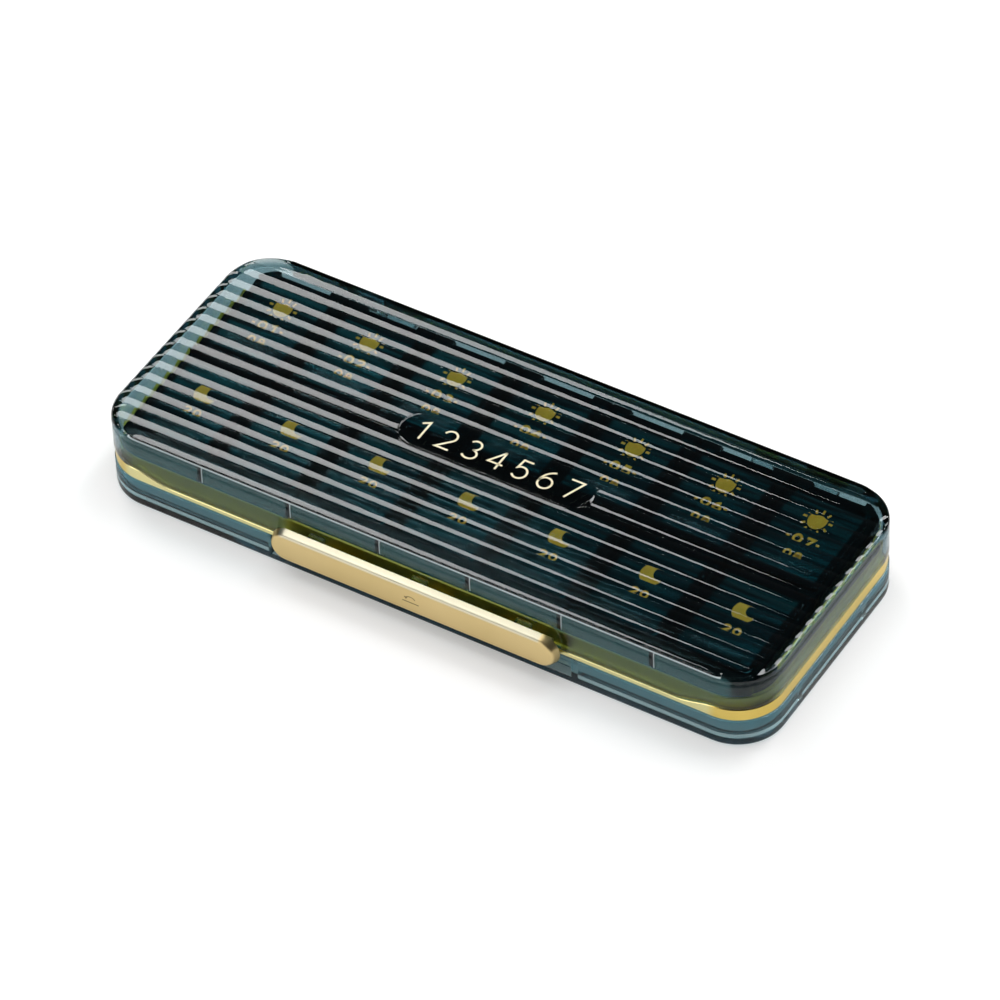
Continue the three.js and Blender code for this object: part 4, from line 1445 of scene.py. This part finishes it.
@dataclass
class DayLid:
    """One lid of a day: a thin plate with a thumb groove, a rim that drops into the cell, and a barrel."""

    day: int
    half: Half
    plate_half: float = 10.6
    top: float = 18.4
    under: float = 17.3
    edge: float = 0.3
    groove_half: float = 7.0
    groove_radius: float = 3.4
    groove_depth: float = 0.45
    groove_in: float = 3.0
    rim_half: float = 9.45
    rim_round: float = 2.1
    rim_low: float = 15.6
    rim_wall: float = 0.8
    rim_soft: float = 0.15
    under_soft: float = 0.12
    axis_z: float = 17.2
    axis_out: float = 1.6
    barrel: float = 1.0
    barrel_half: float = 6.8
    barrel_soft: float = 0.12
    pin: float = 0.5
    pin_soft: float = 0.08
    pin_reach: float = 1.0

    @property
    def x(self) -> float:
        """Middle of the day."""
        return DAYS.middle(self.day)

    @property
    def plan(self) -> PlatePlan:
        """The plate's plan: the row at the back is the morning's, the row at the front the evening's."""
        if self.half is Half.MORNING:
            return PlatePlan(self.x, self.plate_half, 2.4, 29.7, 1.2, 4.2)
        return PlatePlan(self.x, self.plate_half, -28.4, -1.0, 5.5, 1.2)

    @property
    def rim_y(self) -> Span:
        """Near and far end of the rim that drops into the cell."""
        return (3.7, 28.2) if self.half is Half.MORNING else (-27.0, -2.3)

    def grid(self) -> np.ndarray:
        """The top as a grid, with a groove whose depth is what a level circle cuts away below the face."""
        plan = self.plan
        middle = plan.near + self.groove_in
        high = self.groove_radius - self.groove_depth
        reach = math.sqrt(self.groove_radius**2 - high**2)
        groove = middle + reach * mirrored(np.array([0.2, 0.45, 0.7, 0.9, 1]))
        plain = np.arange(plan.near + 6.5, plan.far - 4.5, 2.6)
        y = merge_places([plan.rows(self.edge), groove, plain], 0.04)
        width = plan.half_width(y, self.edge)
        columns = np.array([0, 2.0, 4.0, 6.0, self.groove_half - 0.05, self.groove_half + 0.05])
        inner = columns[None, :] * np.minimum(1.0, (width - 1.2) / columns[-1])[:, None]
        last = inner[:, -1:]
        outer = last + (width[:, None] - last) * np.array([0.3, 0.6, 0.8, 0.92, 1.0])
        right = np.concatenate([inner, outer], axis=1)
        across = np.concatenate([-right[:, :0:-1], right], axis=1)
        depth = np.broadcast_to(y[:, None], across.shape)
        away = np.minimum(np.abs(depth - middle), self.groove_radius)
        cut = np.maximum(np.sqrt(self.groove_radius**2 - away**2) - high, 0.0)
        cut = cut * below(np.abs(across), self.groove_half, 0.04)
        return np.stack([self.x + across, depth, self.top - cut], axis=-1)

    def walls(self, border: np.ndarray) -> list[np.ndarray]:
        """Rings from the top's border over the edge, under the plate, round the rim and up to its inside."""
        loop = self.plan.loop(border[:, :2])
        (near, far), soft, wall, under = self.rim_y, self.rim_soft, self.rim_wall, self.under
        rim = loop.within((self.x - self.rim_half, near), (self.x + self.rim_half, far), self.rim_round)
        rings = loop.bend(self.edge, self.top - self.edge, self.edge, (112.5, 135, 157.5, 180))
        rings += loop.rings([(0.0, under + self.under_soft), (self.under_soft, under)])
        low, root = self.rim_low, soft * 2
        return rings + rim.rings([
            (-soft, under), (0.0, under - soft), (0.0, low + soft), (soft, low), (wall - soft, low),
            (wall, low + soft), (wall, under - root), (wall + root, under)])

    def hinge(self, skin: Skin) -> None:
        """The barrel with its two short pins, and the arm that joins it to the plate."""
        reach, tip = self.barrel_half, self.barrel_half + self.pin_reach
        side = [(self.pin - self.pin_soft, tip), (self.pin, tip - self.pin_soft), (self.pin, reach),
                (self.barrel - self.barrel_soft, reach), (self.barrel, reach - self.barrel_soft)]
        y = self.plan.far + self.axis_out
        profile = [(radius, self.x - out) for radius, out in side]
        profile += [(radius, self.x + out) for radius, out in side[::-1]]
        skin.loft(turned(profile, y, self.axis_z, 32))
        arm = box((self.plan.far - 0.5, y), (self.under + 0.05, self.axis_z + self.barrel))
        skin.prism(arm, Layer(on_x, self.x - reach + 0.1, self.x + reach - 0.1))

    def dress(self, materials: Materials) -> None:
        """Puts the lid into the scene."""
        skin = Skin()
        skin.shell(self.grid(), self.walls)
        self.hinge(skin)
        mesh = skin.mesh(f"{self.half.value}_lid_fine_{self.day}", 34.0)
        add_piece(mesh, materials[Finish.DARK], f"{self.half.value}_{self.day}",
                  [f"{self.half.value}_lid_{self.day}"])


@dataclass
class KeptNodes:
    """CAD nodes whose shape stays: the day boxes and the pins."""

    nodes: dict[str, bpy.types.Object]

    def dress(self, materials: Materials) -> None:
        """Puts each node's finish into every slot of it."""
        for sign, finish in (("day_box", Finish.BOX), ("pin", Finish.STEEL)):
            for node in (node for name, node in self.nodes.items() if sign in name):
                for slot in node.material_slots:
                    slot.material = materials[finish]


@dataclass(frozen=True)
class PhotoCamera:
    """Camera at the photograph's angle, found from the case's outline."""

    azimuth: float = 33.0286
    elevation: float = 44.6331
    roll: float = -2.6042
    distance: float = 1625.24
    focal: float = 6955.7
    image: float = 1000.0
    shift_right: float = 0.5408
    shift_up: float = -1.1946
    aim_height: float = 10.9826
    sensor: float = 36.0
    clip: Span = (0.05, 20.0)

    def build(self) -> None:
        """Makes the camera: its axes come from azimuth, elevation and roll, its place from the distance."""
        azimuth, elevation, roll = np.radians([self.azimuth, self.elevation, self.roll])
        back = np.array([math.sin(azimuth) * math.cos(elevation), -math.cos(azimuth) * math.cos(elevation),
                         math.sin(elevation)])
        level = np.cross(-back, [0.0, 0.0, 1.0])
        level /= np.linalg.norm(level)
        up = np.cross(level, -back)
        right = level * math.cos(roll) + up * math.sin(roll)
        top = -level * math.sin(roll) + up * math.cos(roll)
        target = np.array([0.0, 0.0, self.aim_height]) + right * self.shift_right + top * self.shift_up
        data = bpy.data.cameras.new("photo_camera")
        data.sensor_fit = "HORIZONTAL"
        data.sensor_width = self.sensor
        data.lens = self.focal / self.image * self.sensor
        data.clip_start, data.clip_end = self.clip
        camera = put("photo_camera", data)
        turn = Matrix(np.column_stack([right, top, back]).tolist()).to_4x4()
        camera.matrix_world = Matrix.Translation(Vector((target + back * self.distance) * MM)) @ turn
        bpy.context.scene.camera = camera


@dataclass(frozen=True)
class Lamp:
    """One soft area lamp, in metres. Radiance is what a mirror would show of it."""

    name: str
    place: tuple[float, float, float]
    aim: tuple[float, float, float]
    size: Span
    radiance: float
    turn: float = 0.0
    in_gloss: bool = True
    in_matt: bool = True

    def build(self) -> None:
        """Makes the lamp: a rectangle of radiance L and area A gives L times A times pi watts."""
        data = bpy.data.lights.new(self.name, "AREA")
        data.shape = "RECTANGLE"
        data.size, data.size_y = self.size
        data.energy = self.radiance * self.size[0] * self.size[1] * math.pi
        lamp = put(self.name, data)
        way = (Vector(self.aim) - Vector(self.place)).to_track_quat("-Z", "Y").to_matrix().to_4x4()
        turn = Matrix.Rotation(math.radians(self.turn), 4, "Z")
        lamp.matrix_world = Matrix.Translation(Vector(self.place)) @ way @ turn
        lamp.visible_glossy = self.in_gloss
        lamp.visible_diffuse = self.in_matt
        lamp.visible_camera = False


@dataclass
class Studio:
    """White table, a quiet world, and lamps: a softbox on its corner, one overhead, and side fills."""

    world: float = 0.03
    floor_half: float = 2000.0
    floor_z: float = -0.05
    lamps: tuple[Lamp, ...] = (
        Lamp("corner_softbox", (-0.62, 0.35, 1.0), (-0.62, 0.35, 0.0), (0.4525, 0.4525), 6.9, 45.0),
        Lamp("overhead_fill", (0.1, -0.3, 1.9), (0.0, 0.0, 0.0), (1.6, 1.6), 2.4, in_gloss=False),
        Lamp("front_strip", (-0.5, -0.26, 1.1), (-0.5, -0.26, 0.0), (0.7, 0.3), 2.9),
        Lamp("back_left_panel", (-1.0, 0.8, 0.3), (0.0, 0.0, 0.02), (0.8, 0.36), 3.0),
        Lamp("rib_end_strip", (0.22, 0.7, 1.0), (0.22, 0.7, 0.0), (0.3, 1.0), 8.0),
        Lamp("right_strip", (1.0, 0.85, 0.85), (0.0, 0.0, 0.0), (0.5, 0.5), 3.0),
        Lamp("front_panel", (-0.5, -1.0, 0.42), (0.0, 0.0, 0.01), (1.0, 0.7), 1.5, in_matt=False),
    )

    def build(self) -> None:
        """Makes the table, the lamps and the world."""
        skin = Skin()
        x, y = np.meshgrid(*[np.linspace(-self.floor_half, self.floor_half, 5)] * 2)
        skin.span(skin.add(np.stack([x, y, np.full_like(x, self.floor_z)], axis=-1)))
        floor = put("table_top", skin.mesh("table_top"))
        floor.data.materials.append(StudioFloor().paint())
        for lamp in self.lamps:
            lamp.build()
        world = bpy.data.worlds.new("studio_world")
        world.use_nodes = True
        shade = world.node_tree.nodes["Background"]
        shade.inputs["Color"].default_value = (1.0, 1.0, 1.0, 1.0)
        shade.inputs["Strength"].default_value = self.world
        scene = bpy.context.scene
        scene.world = world
        scene.view_settings.view_transform = "Standard"
        for kind, bounces in (("max", 24), ("transmission", 20), ("transparent_max", 32), ("glossy", 6),
                              ("diffuse", 3)):
            setattr(scene.cycles, f"{kind}_bounces", bounces)


def corners(bounds: Any) -> list[list[float]]:
    """Lowest and highest corner as plain lists of numbers."""
    return [[float(value) for value in corner] for corner in bounds]


def main() -> None:
    """Builds the box in order."""
    logging.basicConfig(level=logging.INFO, format="%(name)s: %(message)s")
    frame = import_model()
    PhotoCamera().build()
    Studio().build()
    materials = {finish: finish.value.paint() for finish in Finish}
    parts: list[Any] = [KeptNodes(frame["nodes"]), BaseTub(), TrimCollar(), OuterLid(), LatchBar(),
                        PadNumerals()]
    for day in DAYS.numbers:
        parts += [DayLid(day, Half.MORNING), DayLid(day, Half.EVENING), DayPrints(day)]
    for part in parts:
        part.dress(materials)
        LOG.info("dressed %s", type(part).__name__)


if __name__ == "__main__":
    main()
